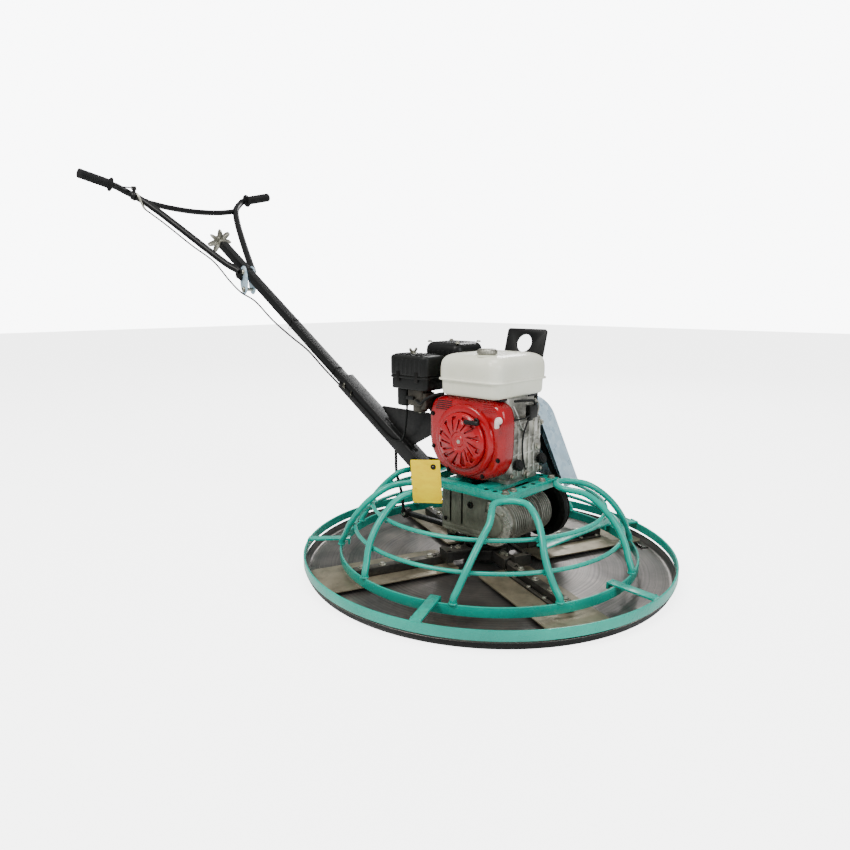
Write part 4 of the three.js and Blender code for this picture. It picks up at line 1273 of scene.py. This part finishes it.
def fan_cover_outline(grow=0.0):
    """The rounded outline of the fan cover, as (y, z), grown outwards."""
    corners = [
        (-134, 304), (-108, 262), (-56, 236), (36, 236), (84, 258), (104, 296),
        (106, 396), (96, 428), (60, 441), (-90, 441), (-124, 428), (-136, 396),
    ]
    centre = Vector((-15, 340))
    rounded = []
    count = len(corners)
    for k in range(count):
        p, q, r = (Vector(corners[(k + j) % count]) for j in (-1, 0, 1))
        cut_in = min(COVER_ROUNDING, (q - p).length * 0.4)
        cut_out = min(COVER_ROUNDING, (r - q).length * 0.4)
        a = q + (p - q).normalized() * cut_in
        b = q + (r - q).normalized() * cut_out
        for j in range(5):
            t = j / 4
            rounded.append(a * (1 - t) ** 2 + q * 2 * t * (1 - t) + b * t * t)
    return [(p + (centre - p).normalized() * -grow) for p in rounded]


def fan_cover():
    """The red shroud, its louvres and its screws."""
    loops = []
    for x, inset in ((36.6, 0), (66, 0), (71, 1.2), (75, 3.8), (78.4, 8), (80, 13), (80.3, 18)):
        loops.append([Vector((x, p.x, p.y)) for p in fan_cover_outline(-inset)])
    shell = loft(loops, cap_low=False)
    lip = loft(
        [
            [Vector((x, p.x, p.y)) for p in fan_cover_outline(g)] for x,
            g in ((36.6, -4), (36.6, 0.0), (40, 0), (40, -0.2))
        ],
        False, False,
    )
    dome = lathe(
        [
            (92, 76), (92, 82), (91, 86), (88.5, 89), (85, 90.6), (80, 91), (72.6, 91), (72.2, 90.6),
            (72.2, 84),
        ],
        (0, *STARTER_AT), X, 96,
    )
    place("fan_shroud", join_parts(shell, lip, dome), RED, "chassis", ["fan_cover"], smooth=32)
    recoil()
    louvres = []
    for k in range(6):
        z = 404 + 5.2 * k
        louvres.append(box(80.0, 82.0, -112 + 2 * k, -56, z, z + 2.4, 1))
    for k in range(5):
        louvres.append(box(80.0, 82.0, 40, 84 - 3 * k, 414 + 5 * k, 416.4 + 5 * k, 1))
    place("shroud_louvres", join_parts(*louvres), RED, "chassis")
    # Painted shade: thin black strips laid between the louvres stand in for the dark openings of the vents.
    gaps = [box(79.9, 80.75, -111 + 2 * k, -57, 406.6 + 5.2 * k, 408.8 + 5.2 * k, 0.1) for k in range(5)]
    place("shroud_gap_shade", join_parts(*gaps), PLASTIC, "chassis")
    at = ((-118, 306), (-66, 252), (44, 252), (90, 300), (92, 392), (-120, 392))
    screws = [hex_bolt((79.9, y, z), X, 8, 3.4) for y, z in at]
    place("shroud_screws", join_parts(*screws), DARK_STEEL, "chassis")


def recoil():
    """The starter housing: curved slots in its face, over a red screen, and the pull handle."""
    cy, cz = STARTER_AT
    profile = [
        (72, 91.5), (72, 97), (71.2, 99.4), (69, 101.6), (64, 104.4), (59, 106.3), (56, 107), (28, 107),
        (25, 106.2), (23, 104.2), (14, 104.2), (12, 105.6), (0, 105.6),
    ]

    def slotted(i, k):
        if i in (4, 5):
            return k % 10 in (3, 4, 5, 6)
        if i == 6:
            return k % 8 in (4, 5)
        return False

    housing = lathe(profile, (0, cy, cz), X, 120, skip=slotted)
    points = []
    for p in housing[0]:
        r = math.hypot(p.y - cy, p.z - cz)
        twist = SLOT_TWIST * max(0.0, min(1.0, (56 - r) / 28))
        c, s = math.cos(twist), math.sin(twist)
        points.append(
            Vector((p.x, cy + (p.y - cy) * c - (p.z - cz) * s, cz + (p.y - cy) * s + (p.z - cz) * c))
        )
    place(
        "starter_housing", (points, housing[1]), RED, "chassis", ["recoil_cover"],
        solid=PRESSED_THICK, smooth=30,
    )
    screen = lathe([(0, 100.6), (20, 100.6), (54, 102.6), (66, 98), (69, 93)], (0, cy, cz), X, 60)
    place("starter_screen", screen, RED, "chassis")
    centre = hex_bolt((105.4, cy, cz), X, 10, 1.4, washer=False)
    place("starter_bolt", centre, ZINC, "chassis")
    guide = lathe([(4.6, 0), (8, 0), (9, 1), (9, 5), (7.4, 6.4), (4.6, 6.4), (4.6, 0)], (91, *PULL_AT), X, 28)
    place("rope_guide", guide, PLASTIC, "chassis")
    bar = tube([(113, y, PULL_AT[1]) for y in (10, 12, 16, 24, 32, 40, 48, 52, 54)], 6.5, 20,
               scale=[0.6, 0.85, 0.96, 0.86, 0.95, 0.86, 0.96, 0.85, 0.6])
    stem = lathe([(0, 100.6), (4.4, 100.6), (5, 106), (6, 112), (0, 112)], (0, *PULL_AT), X, 24)
    place("starter_handle", join_parts(bar, stem), PLASTIC, "starter", ["recoil_grip"])
    rope = tube([(94 + 1.25 * k, *PULL_AT) for k in range(13)], ROPE_RADIUS, 12)
    place_blend("starter_rope", rope, RUBBER)


SEAM = 484.0
TANK_SIDES = (-123, 103, -95, 101)
CAP_AT = (62, 38)
KNURLS, KNURL_DEPTH = 28, 0.035


def tank():
    """Two pressed halves with a rolled seam, a filler neck and a knurled cap."""
    x0, x1, y0, y1 = TANK_SIDES

    def ring(inset, z, corner):
        return [
            (x, y, z) for x, y in rounded_rect(x0 + inset, x1 - inset, y0 + inset, y1 - inset, corner, 12)
        ]

    low = [
        ring(inset, z, corner)
        for inset, z,
        corner in (
            (22, 446, 14), (15, 447, 18), (10.5, 449.4, 21), (8.2, 453, 23), (7.2, 460, 24),
            (6.4, SEAM - 3, 25), (5.6, SEAM, 26),
        )
    ]
    seam = [
        ring(out, SEAM + z, 30) for out,
        z in ((1.4, 0.3), (-0.6, 0.9), (-1, 2), (-1, 3.6), (-0.6, 4.6), (1.6, 5.2))
    ]
    high = [
        ring(inset, z, corner)
        for inset, z, corner in (
            (2.6, SEAM + 7, 30), (2, 497, 30), (2.1, 514, 30), (2.8, 524, 30), (4.6, 532, 30), (8, 538.6, 30),
            (13, 543.6, 29), (20, 547.2, 26), (30, 549.6, 22), (44, 550.7, 18), (62, 551, 14),
        )
    ]
    place("tank_shell", loft(low + seam + high), CREAM, "chassis", ["fuel_tank"], smooth=60)
    neck = lathe(
        [(16, 546), (26, 546), (26, 551.2), (22, 552), (20, 553), (16, 553), (16, 546)], (*CAP_AT, 0), Z, 48,
    )
    place("tank_neck", neck, CREAM, "chassis")
    cap_profile = [
        (0, 0.4), (24, 0.4), (25, 1.2), (25, 8), (24.2, 9.2), (21, 11), (19, 12.6), (14, 13), (9, 12.2),
        (0, 12),
    ]
    cap = lathe(cap_profile, (*CAP_AT, 553), Z, KNURLS * 4)
    points = []
    for p in cap[0]:
        dx, dy = p.x - CAP_AT[0], p.y - CAP_AT[1]
        r = math.hypot(dx, dy)
        if r > 23:
            a = math.atan2(dy, dx)
            k = 1 - KNURL_DEPTH * (0.5 + 0.5 * math.cos(a * KNURLS))
            p = Vector((CAP_AT[0] + dx * k, CAP_AT[1] + dy * k, p.z))
        points.append(p)
    place("tank_cap", (points, cap[1]), CAP_STEEL, "cap", ["fuel_cap"])
    brackets = [box(-94, -60, 60, 80, 440, 447, 1), box(34, 60, 60, 80, 440, 447, 1)]
    place("tank_brackets", join_parts(*brackets), BLACK, "chassis")


def air_cleaner():
    """A ribbed plastic case with two clips and a wing nut."""
    base = soft_box(18, 96, -262, -132, 448, 480, 14, 3)
    lid = soft_box(15, 99, -265, -129, 480, 538, 16, 9, 8)
    lip = soft_box(14.2, 99.8, -265.6, -128.4, 477, 483, 17, 1.4, 8)
    ribs = [soft_box(99 - 2.2, 99.9, y, y + 7, 488, 528, 1.5, 1.2, 3) for y in range(-250, -140, 16)]
    ribs += [soft_box(x, x + 7, -265.4, -263, 488, 528, 1.5, 1.2, 3) for x in range(28, 84, 14)]
    crown = [soft_box(24, 90, y, y + 6, 535, 540.6, 2.5, 1.4, 3) for y in range(-250, -150, 18)]
    place(
        "cleaner_case", join_parts(base, lid, lip, *ribs, *crown), PLASTIC, "chassis",
        ["air_cleaner"],
    )
    nut = [lathe([(0, 537), (9, 537), (9, 540), (5, 542), (5, 548), (0, 549)], (56, -214, 0), Z, 24)]
    for s in (-1, 1):
        wing = [
            (56 + s * 4, 541), (56 + s * 8, 541.6), (56 + s * 15, 549), (56 + s * 15.4, 553),
            (56 + s * 12, 555.6), (56 + s * 8, 553), (56 + s * 3.4, 547),
        ]
        if s < 0:
            wing.reverse()
        nut.append(plate(wing, 3.4, (0, -212.3, 0), X, Z, edge=1))
    place("cleaner_wing_nut", join_parts(*nut), ZINC, "chassis")
    clips = [box(98.4, 99.95, y, y + 12, 468, 496, 0.8) for y in (-236, -170)]
    place("cleaner_clips", join_parts(*clips), DARK_STEEL, "chassis")


def carburetor():
    """The carburettor with its elbow, hose, choke and stop switch."""
    parts = [
        lathe([(0, 386), (16, 386), (19.5, 388.5), (20, 392), (20, 410), (0, 410)], (58, -186, 0), Z, 48),
        soft_box(36, 84, -212, -160, 404, 447.6, 8, 3), soft_box(38, 78, -168, -150, 396, 440, 6, 2),
        lathe([(0, 0), (11, 0), (12, 1), (12, 5), (0, 5)], (60, -212, 424), -Y, 32),
    ]
    place("carburetor_body", join_parts(*parts), DARK_ALLOY, "chassis", ["carburetor"])
    bits = [
        hex_bolt((58, -186, 386), -Z, 9, 4, washer=False), hex_bolt((44, -159, 404), Y, 7, 3),
        hex_bolt((46, -212, 412), -Y, 7, 3),
    ]
    place("carburetor_bolts", join_parts(*bits), ZINC, "chassis")
    elbow = [
        soft_box(26, 86, -250, -214, 400, 449, 10, 6),
        tube(smooth_path([(30, -160, 420), (20, -140, 424), (14, -118, 424), (10, -100, 420)], 24), 9, 18),
    ]
    place("intake_elbow", join_parts(*elbow), PLASTIC, "chassis")
    hose = tube(
        smooth_path(
            [(84, -176, 420), (96, -150, 416), (100, -128, 430), (90, -106, 442), (76, -86, 447)], 40,
        ),
        3.6, 12,
    )
    place("fuel_hose", hose, RUBBER, "chassis")
    lever = [
        plate(
            [
                (-206, 422.4), (-204, 421), (-182, 421), (-180, 423), (-180, 429), (-182, 431), (-204, 431),
                (-206, 429.6),
            ],
            6, (88, 0, 0), Y, Z, edge=1.4,
        ),
        lathe([(0, 84.4), (5, 84.4), (5, 92), (0, 92)], (0, -186, 426), X, 20),
    ]
    place("choke_knob", join_parts(*lever), PLASTIC, "choke", ["choke_lever"])
    toggle = [
        lathe([(0, 80.6), (9, 80.6), (9, 86), (7.6, 88), (0, 88)], (0, 92, 398), X, 28),
        plate(
            [(88, 382), (91, 380), (94, 380), (96, 383), (95.4, 400), (93, 402), (90.6, 402), (88.6, 400)],
            11, (85, 0, 0), Y, Z, edge=1.8,
        ),
    ]
    place("stop_switch", join_parts(*toggle), PALE_PLASTIC, "switch", ["engine_switch"])


def silencer():
    """The can and the slotted shield round it."""
    can = soft_box(-98, -4, -212, -106, 452, 536, 20, 10, 8)
    elbow = soft_box(-62, -30, -158, -124, 404.6, 456, 8, 2)
    place("silencer_can", join_parts(can, elbow), DARK_STEEL, "chassis", ["muffler"])
    rows = []
    for inset, z in ((0, 488), (0, 490), (0.2, 548), (1.5, 556), (5, 562), (10, 566), (16, 568), (24, 568)):
        rows.append(
            [
                (x, y, z) for x,
                y in rounded_rect(-106 + inset, 8 - inset, -222 + inset, -97 - inset, max(22 - inset, 5), 8)
            ]
        )
    cover = loft(rows, cap_low=False)
    place("silencer_shield", cover, BLACK, "chassis", ["muffler_guard"], solid=PRESSED_THICK)
    louvres = []
    for k in range(7):
        x = -92 + 13 * k
        ridge = [(x, 0), (x + 7, 0), (x + 6, 2.6), (x + 3, 3.0)]
        louvres.append(plate(ridge, 84, (0, -118, 566.6), X, Z, edge=0.4))
    for k in range(6):
        y = -206 + 17 * k
        louvres.append(soft_box(6.4, 8.9, y, y + 8, 502, 548, 1.1, 0.9, 3))
        louvres.append(soft_box(-106.8, -104.4, y, y + 8, 502, 548, 1.1, 0.9, 3))
    place("silencer_louvres", join_parts(*louvres), BLACK, "chassis")
    tips = [hex_bolt((x, y, 568), Z, 9, 3.4) for x, y in ((-94, -208), (-4, -208), (-94, -111), (-4, -111))]
    place("silencer_screws", join_parts(*tips), ZINC, "chassis")


def flywheel_and_shafts():
    """Materials for the turning parts that are seen as they were packed."""
    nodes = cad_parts
    for name, look in (
        ("flywheel", ALLOY), ("crankshaft", STEEL), ("main_shaft", STEEL), ("worm_wheel", STEEL),
        ("worm_shaft", STEEL),
        ("shaft_bearing", STEEL), ("pressure_plate", DARK_STEEL),
    ):
        nodes[name].data.materials.clear()
        nodes[name].data.materials.append(look)


# ---- lifting plate and handle ---------------------------------------------------------------

SLOPE = math.radians(33.6)
HANDLE_START = Vector((0, -206, 199))
HUB_Y = -1073
HUB_ALONG = (HANDLE_START.y - HUB_Y) / math.cos(SLOPE)
HUB_Z = HANDLE_START.z + HUB_ALONG * math.sin(SLOPE)
TUBE_LENGTH = 1225
SOCKET_HALF, SOCKET_LENGTH = 22, 425
TUBE_HALF = 14
TIE_LIFT = 1.2
THROTTLE_CABLE_RADIUS, PITCH_CABLE_RADIUS = 3, 4.2
KNOB_ARMS, KNOB_RADIUS = 7, 46


def on_handle(part):
    """Moves a shape drawn along +Y at the origin onto the handle."""
    turn = Matrix.Rotation(PI, 4, "Z") @ Matrix.Rotation(SLOPE, 4, "X")
    return moved(part, Matrix.Translation(HANDLE_START) @ turn)


def handle_point(x, along, lift):
    """The place of one point given along the handle."""
    return on_handle(([Vector((x, along, lift))], []))[0][0]


def lift_plate():
    """The upright strip and the eye that the machine is lifted by."""
    lean = math.radians(16)  # the eye leans outwards
    strip = box(-133, -125, 26, 60, ENGINE_FOOT, 501, 1.2)
    hole = circle(24, 48, (2, 69))
    outline = [(26, -1), (60, -1), (66, 40), (66, 103), (61, 108), (-51, 108), (-56, 103), (-56, 26)]
    top = plate(outline, 8, (0, 0, 0), Y, Z, [hole], edge=1)
    top = moved(top, Matrix.Translation(Vector((-133, 0, 500))) @ Matrix.Rotation(-lean, 4, "Y"))
    place("lifting_eye", join_parts(strip, top), BLACK, "chassis", ["lift_plate"])
    bolts = [hex_bolt((-133, 43, z), -X, 13, 6) for z in (246, 410)]
    place("lifting_bolts", join_parts(*bolts), ZINC, "chassis")


def box_tube(half, start, end, corner=3):
    """A square tube along the handle with recessed ends."""
    def ring(h, y):
        return [(x, y, z) for x, z in rounded_rect(-h, h, -h, h, corner, 4)]

    wall = 4 if half > 18 else 3
    loops = [
        ring(half - wall, start + 3), ring(half - wall, start + 0.5), ring(half - 0.8, start),
        ring(half, start + 0.8),
    ]
    steps = 24
    loops += [ring(half, start + 0.8 + (end - start - 1.6) * k / steps) for k in range(1, steps)]
    loops += [
        ring(half, end - 0.8), ring(half - 0.8, end), ring(half - wall, end - 0.5),
        ring(half - wall, end - 3),
    ]
    return on_handle(loft(loops))


def handle():
    """The socket with its gusset and fork, and the column in it."""
    socket = [box_tube(SOCKET_HALF, 0, SOCKET_LENGTH)]
    gusset = [(-392, 370), (-390, 372), (-198, 372), (-196, 370), (-196, 312), (-288, 260)]
    socket.append(plate(gusset, 8, (-4, 0, 0), Y, Z, edge=1))
    for s in (-1, 1):
        socket.append(box(s * 24.5 - 3.5, s * 24.5 + 3.5, -252, -152, 182, 240, 1.4))
    socket.append(box(-28, 28, -156, -150.4, 182, 240, 1.2))
    beads = [weld([handle_point(s * 3, a, 22.2) for a in range(70, 225, 5)], 2.2, s) for s in (-1, 1)]
    place(
        "handle_socket_tube", join_parts(*socket, *beads), BLACK, "chassis", ["handle_socket"],
    )
    bolts = []
    for s in (-1, 1):
        bolts.append(hex_bolt((s * 28, -196, 206), X * s, 14, 7))
        bolts.append(hex_bolt((s * 28, -232, 222), X * s, 14, 7))
    for a in (360, 400):
        for s in (-1, 1):
            bolts.append(hex_bolt(handle_point(s * SOCKET_HALF, a, 0), X * s, 12, 5))
    place("handle_socket_bolts", join_parts(*bolts), ZINC, "chassis")
    place(
        "handle_column", box_tube(TUBE_HALF, SOCKET_LENGTH + 1, TUBE_LENGTH, 2.5), BLACK, "chassis",
        ["handle_tube"],
    )
    collar = on_handle(
        lathe([(5, 0), (12, 0), (13, 1), (13, 5), (5, 5), (5, 0)], (0, TUBE_LENGTH - 6, 0), Y, 32)
    )
    place("handle_collar", collar, ZINC, "chassis")
    star_knob()
    control_cables()


def star_knob():
    """A seven-armed hand wheel with rounded tips."""
    count = 140
    base = []
    for k in range(count):
        a = 2 * PI * k / count
        wave = (0.5 + 0.5 * math.cos(KNOB_ARMS * a)) ** 1.7
        base.append((a, 21 + 25.5 * wave))

    def ring(scale, y):
        reach = [(a, min(r * scale, KNOB_RADIUS)) for a, r in base]
        return [(r * math.cos(a), y, r * math.sin(a)) for a, r in reach]

    y0 = TUBE_LENGTH + 17
    section = ((0.5, 1), (0.82, 0), (0.95, 1.4), (1.0, 5), (1.0, 13), (0.95, 17), (0.82, 18.6), (0.5, 17.4))
    star = on_handle(loft([ring(scale, y0 + rise) for scale, rise in section]))
    boss = on_handle(lathe([(0, 0.6), (11, 0.6), (13, 2), (13, 24), (0, 24)], (0, TUBE_LENGTH, 0), Y, 36))
    front = on_handle(lathe([(0, 34), (12, 34), (12, 35.4), (10, 36), (0, 36)], (0, TUBE_LENGTH, 0), Y, 36))
    screw = on_handle(lathe([(0, -168), (6, -168), (6, 10), (0, 10)], (0, TUBE_LENGTH, 0), Y, 20))
    place(
        "pitch_hand_wheel", join_parts(star, boss, front, screw), CAP_STEEL, "knob",
        ["star_knob"],
    )


BAR_RADIUS, CROSS_RADIUS = 12, 10
LOW, KNEE, TOP_POINT = (31, -1090, 782), (48, -1128, 803), (187, -1429, 1027)
SHOULDER, BEND, GRIP_START, GRIP_END = (
    240, -1477, 1066,
), (258, -1487, 1077), (272, -1489, 1081), (377, -1490, 1106)


def handlebar():
    """Two bent tubes and the cross tube between them."""
    parts = []
    for s in (1, -1):
        bends = (LOW, KNEE, TOP_POINT, SHOULDER, BEND, GRIP_START, GRIP_END)
        path = smooth_path([(s * x, y, z) for x, y, z in bends], 90)
        parts.append(tube(path, BAR_RADIUS, 20))
        end = Vector((s * LOW[0], LOW[1], LOW[2]))
        parts.append(
            tube(
                [end + Vector((-s * 2, 10, -6)), end, end + Vector((s * 3, -6, 3))], 11.5, 20,
                scale=[0.8, 1.02, 1],
            )
        )
    x, y, z = TOP_POINT
    cross = smooth_path(
        [(x, y, z), (x * 0.55, y + 14, z - 14), (0, y + 20, z - 20), (-x * 0.55, y + 14, z - 14), (-x, y, z)],
        60,
    )
    parts.append(tube(cross, CROSS_RADIUS, 18))
    for s in (-1, 1):
        ring = [Vector((s * (x - 9), y + 1.5, z - 1.5)) + Vector((0, b, c)) for b, c in circle(11, 20)]
        parts.append(tube(ring, 2.0, 7, closed=True))
    place("bar_tubes", join_parts(*parts), BLACK, "bar", ["handlebar"])
    for s, side in ((1, "right"), (-1, "left")):
        grip(s, side)
    clamp()
    throttle()


def grip(s, side):
    """A ribbed sleeve with a collar; s is the side, 1 or -1."""
    start = Vector((s * GRIP_START[0], GRIP_START[1], GRIP_START[2]))
    end = Vector((s * GRIP_END[0], GRIP_END[1], GRIP_END[2]))
    length = (end - start).length
    profile = [(12.6, 4), (23, 4), (24.6, 4.8), (25, 6.4), (24.6, 8.2), (22.5, 9), (17.4, 9.6), (16.6, 11)]
    h = 13
    while h < length - 6:
        profile += [(16.9, h), (16.9, h + 3.6), (15.7, h + 4.4), (15.7, h + 5.6)]
        h += 6.4
    profile += [(16.9, length - 4), (17, length + 4), (16, length + 7.4), (13, length + 8.8), (0, length + 9)]
    place(
        f"grip_sleeve_{side}", lathe(profile, start, end - start, 40), RUBBER, "bar",
        [f"grip_{side}"],
    )


def clamp():
    """Two oval cheeks, two bolts and the lugs of the bar."""
    cheeks = []
    for s in (-1, 1):
        oval = [
            (23 * math.cos(2 * PI * k / 48) + HUB_Y, 49 * math.sin(2 * PI * k / 48) + HUB_Z - 28)
            for k in range(48)
        ]
        cheeks.append(plate(oval, 4, (s * 17 - 2, 0, 0), Y, Z, edge=0.9))
    place("clamp_cheeks", join_parts(*cheeks), ZINC_SHEET, "bar", ["bar_clamp"])
    bolts = []
    for z in (HUB_Z, HUB_Z - 60):
        bolts.append(lathe([(0, -21), (6, -21), (6, 21), (0, 21)], (0, HUB_Y, z), X, 24))
        bolts += [hex_bolt((s * 19, HUB_Y, z), X * s, 13, 4.4) for s in (-1, 1)]
    place("clamp_bolts", join_parts(*bolts), ZINC, "bar")
    lug = [
        (HUB_Y - 34, HUB_Z - 18), (HUB_Y - 6, HUB_Z - 30), (HUB_Y + 2, HUB_Z + 4),
        (HUB_Y - 14, HUB_Z + 14), (HUB_Y - 38, HUB_Z + 10),
    ]
    lugs = [plate(lug, 10, (x, 0, 0), Y, Z, edge=2) for x in (-29.2, 19.2)]
    place("clamp_lugs", join_parts(*lugs), BLACK, "bar")


THROTTLE_AT = (212, -1451, 1073)


def throttle():
    """The thumb lever, its clamp and the ferrule of its cable."""
    x, y, z = THROTTLE_AT
    lever = [
        lathe([(0, -6), (8.4, -6), (9, -5.4), (9, 5.2), (8.4, 6), (0, 6)], (x, y, z), Z, 40),
        plate(
            [
                (-5, -4.6), (8, -5), (50, -3.4), (66, -4.6), (70, -2), (70, 2), (66, 4.6), (50, 3.4), (8, 5),
                (-5, 4.6),
            ],
            4, (x, y, z - 1.8), X, Y, edge=1.2,
        ),
        lathe([(0, -1.8), (6.8, -1.8), (8, 0), (8, 5.6), (6.4, 7.8), (0, 8)], (x + 62, y, z), Z, 32),
    ]
    place("throttle_hand_lever", join_parts(*lever), BLACK, "throttle", ["throttle_lever"])
    along = (Vector(SHOULDER) - Vector(TOP_POINT)).normalized()
    middle = Vector((x, -1451.6, 1045.4))
    band_part = lathe(
        [(12.1, -7), (14.6, -7), (15, -6.4), (15, 6.4), (14.6, 7), (12.1, 7), (12.1, -7)], middle, along, 36,
    )
    post = lathe([(0, 0), (6, 0), (6, 8.4), (0, 8.4)], (x, y, z - 15), Z, 24)
    stop = tube(
        smooth_path(
            [(x - 4, y + 14, z - 20), (x - 8, y + 22, z - 36), (194, -1422, 1006), (190, -1418, 999)], 24,
        ),
        4, 12,
    )
    place("throttle_clamp", join_parts(band_part, post), BLACK, "bar")
    place("throttle_ferrule", stop, ZINC, "bar")


CABLE_ROUTE = (
    (190, -1418, 998), (160, -1350, 950), (112, -1245, 868), (74, -1172, 812), (44, -1118, 742),
    (30, -1078, 706), (26, -1000, 676), (22, -900, 610), (20, -800, 558), (19, -720, 520), (20, -640, 468),
    (28, -560, 426), (28, -440, 350), (28, -330, 284), (32, -282, 290), (46, -250, 360), (50, -240, 415),
    (50, -226, 428), (50, -213, 428),
)


def control_cables():
    """The throttle cable, the pitch cable under the handle, and the ties that hold them."""
    throttle_cable = tube(smooth_path(CABLE_ROUTE, 180), THROTTLE_CABLE_RADIUS, 12)
    place_blend("gas_cable", throttle_cable, RUBBER,
                ["throttle_cable"])
    path = [handle_point(0, along, -17.5) for along in (1130, 1000, 860, 740)]
    path += [handle_point(0, along, -18) for along in (620, 520, 440)]
    path += [handle_point(6, 400, -26), handle_point(16, 300, -29), handle_point(22, 180, -32)]
    path += [(40, -296, 190), (42, -276, 140), (41, -270, 96), (41, -270, 77)]
    pitch_cable = tube(smooth_path(path, 160), PITCH_CABLE_RADIUS, 14)
    place_blend("pitch_cable", pitch_cable, RUBBER)
    loop = rounded_rect(
        -TUBE_HALF - TIE_LIFT, TUBE_HALF + TIE_LIFT, -TUBE_HALF - 9, TUBE_HALF + TIE_LIFT, 4, 4,
    )
    bands = [
        tube([handle_point(x, along, z) for x, z in loop], 1.0, 6, closed=True) for along in (1040, 730, 470)
    ]
    place("cable_ties", join_parts(*bands), RUBBER, "chassis")


TAG_AT, TAG_TURN, TAG_LEAN = Vector((216, -20, 255)), 24, 4
TAG_HALF = (37, 53)
TAG_HOLE = (20, 36)


def hang_tag():
    """A blank card, slightly curled, with an eyelet and a tie wire."""
    half_width, half_height = TAG_HALF
    outline = rounded_rect(-half_width, half_width, -half_height, half_height, 4, 5)
    hole = circle(4, 24, TAG_HOLE)
    sheet = plate(outline, 1.4, (-0.7, 0, 0), Y, Z, [hole], edge=0.2)
    points = []
    for p in sheet[0]:
        curl = 0.5 * math.cos(p.z / 20) * (abs(p.y) / half_width) ** 2
        points.append(Vector((p.x + curl - 0.25, p.y, p.z)))
    lean = Matrix.Rotation(math.radians(TAG_LEAN), 4, "X")
    turn = Matrix.Translation(TAG_AT) @ Matrix.Rotation(math.radians(TAG_TURN), 4, "Z") @ lean
    place("tag_card", moved((points, sheet[1]), turn), CARD, "chassis", ["hang_tag"])
    eyelet = lathe(
        [(3.0, -1.1), (6.4, -1.1), (6.8, 0), (6.4, 1.1), (3.0, 1.1), (3.0, -1.1)], (0, *TAG_HOLE), X, 28,
    )
    place("tag_eyelet", moved(eyelet, turn), DARK_STEEL, "chassis")
    hole_at = turn @ Vector((0, *TAG_HOLE))
    bends = [hole_at + Vector((4, 2, 2)), hole_at + Vector((-6, -2, 3)),
             (150, -50, 282), (110, -84, 268), (84, -96, 262), (79, -98, 268)]
    place("tag_wire", tube(smooth_path(bends, 40), 1.1, 8), ZINC, "chassis")


# ---- floor and light ------------------------------------------------------------------------


# Strength of the room's light, and of the glow of the backdrop and the floor.
WORLD_LIGHT, WORLD_SEEN, FLOOR_SEEN = 0.5, 9.0, 4.0
FLOOR_HALF, FLOOR_Z = 14, -0.0005  # metres
LAMPS = (  # name, place, aim, watts, size, colour
    ("key", (2.6, -0.6, 3.2), (0, 0, 0.3), 100, 1.4, (1, 0.98, 0.95)),
    ("fill", (0.6, 3.4, 2.0), (0, 0, 0.35), 62, 1.6, (0.95, 0.98, 1)),
    ("rim", (-3.0, -1.8, 2.4), (0, -0.4, 0.5), 70, 1.2, (1, 1, 1)),
    ("top", (0.2, 0.2, 4.0), (0, 0, 0.2), 90, 1.6, (1, 1, 1)),
)


def studio():
    """A pale floor, a pale room and four soft lamps."""
    floor_mesh = bpy.data.meshes.new("floor")
    corners = [(x * FLOOR_HALF, y * FLOOR_HALF, FLOOR_Z) for x, y in ((-1, -1), (1, -1), (1, 1), (-1, 1))]
    floor_mesh.from_pydata(corners, [], [(0, 1, 2, 3)])
    made, net, shader = material("floor_look", 0.7, specular=0.2)
    shader.inputs["Base Color"].default_value = (0.93, 0.94, 0.93, 1)
    shader.inputs["Emission Color"].default_value = (1, 1, 1, 1)
    seen = net.new("ShaderNodeLightPath").outputs["Is Camera Ray"]
    net.tree.links.new(net.math("MULTIPLY", seen, FLOOR_SEEN), shader.inputs["Emission Strength"])
    floor_mesh.materials.append(made)
    floor = bpy.data.objects.new("floor", floor_mesh)
    bpy.context.scene.collection.objects.link(floor)
    world = bpy.data.worlds.new("studio")
    world.use_nodes = True
    net = Net(world.node_tree)
    sky = world.node_tree.nodes["Background"]
    sky.inputs["Color"].default_value = (0.98, 0.99, 1.0, 1)
    seen = net.new("ShaderNodeLightPath").outputs["Is Camera Ray"]
    world.node_tree.links.new(net.span(seen, 0.0, 1.0, WORLD_LIGHT, WORLD_SEEN), sky.inputs["Strength"])
    bpy.context.scene.world = world
    for name, at, aim, energy, size, colour in LAMPS:
        data = bpy.data.lights.new(name, "AREA")
        data.energy = energy
        data.size = size
        data.color = colour
        lamp = bpy.data.objects.new(name, data)
        lamp.location = at
        lamp.rotation_euler = (Vector(aim) - Vector(at)).to_track_quat("-Z", "Y").to_euler()
        bpy.context.scene.collection.objects.link(lamp)


make_camera()
studio()
cage()
side_brace()
mount_frame()
rotor()
gearbox()
belt_drive()
crankcase()
cylinder_head()
fan_cover()
tank()
air_cleaner()
carburetor()
silencer()
flywheel_and_shafts()
lift_plate()
handle()
handlebar()
hang_tag()
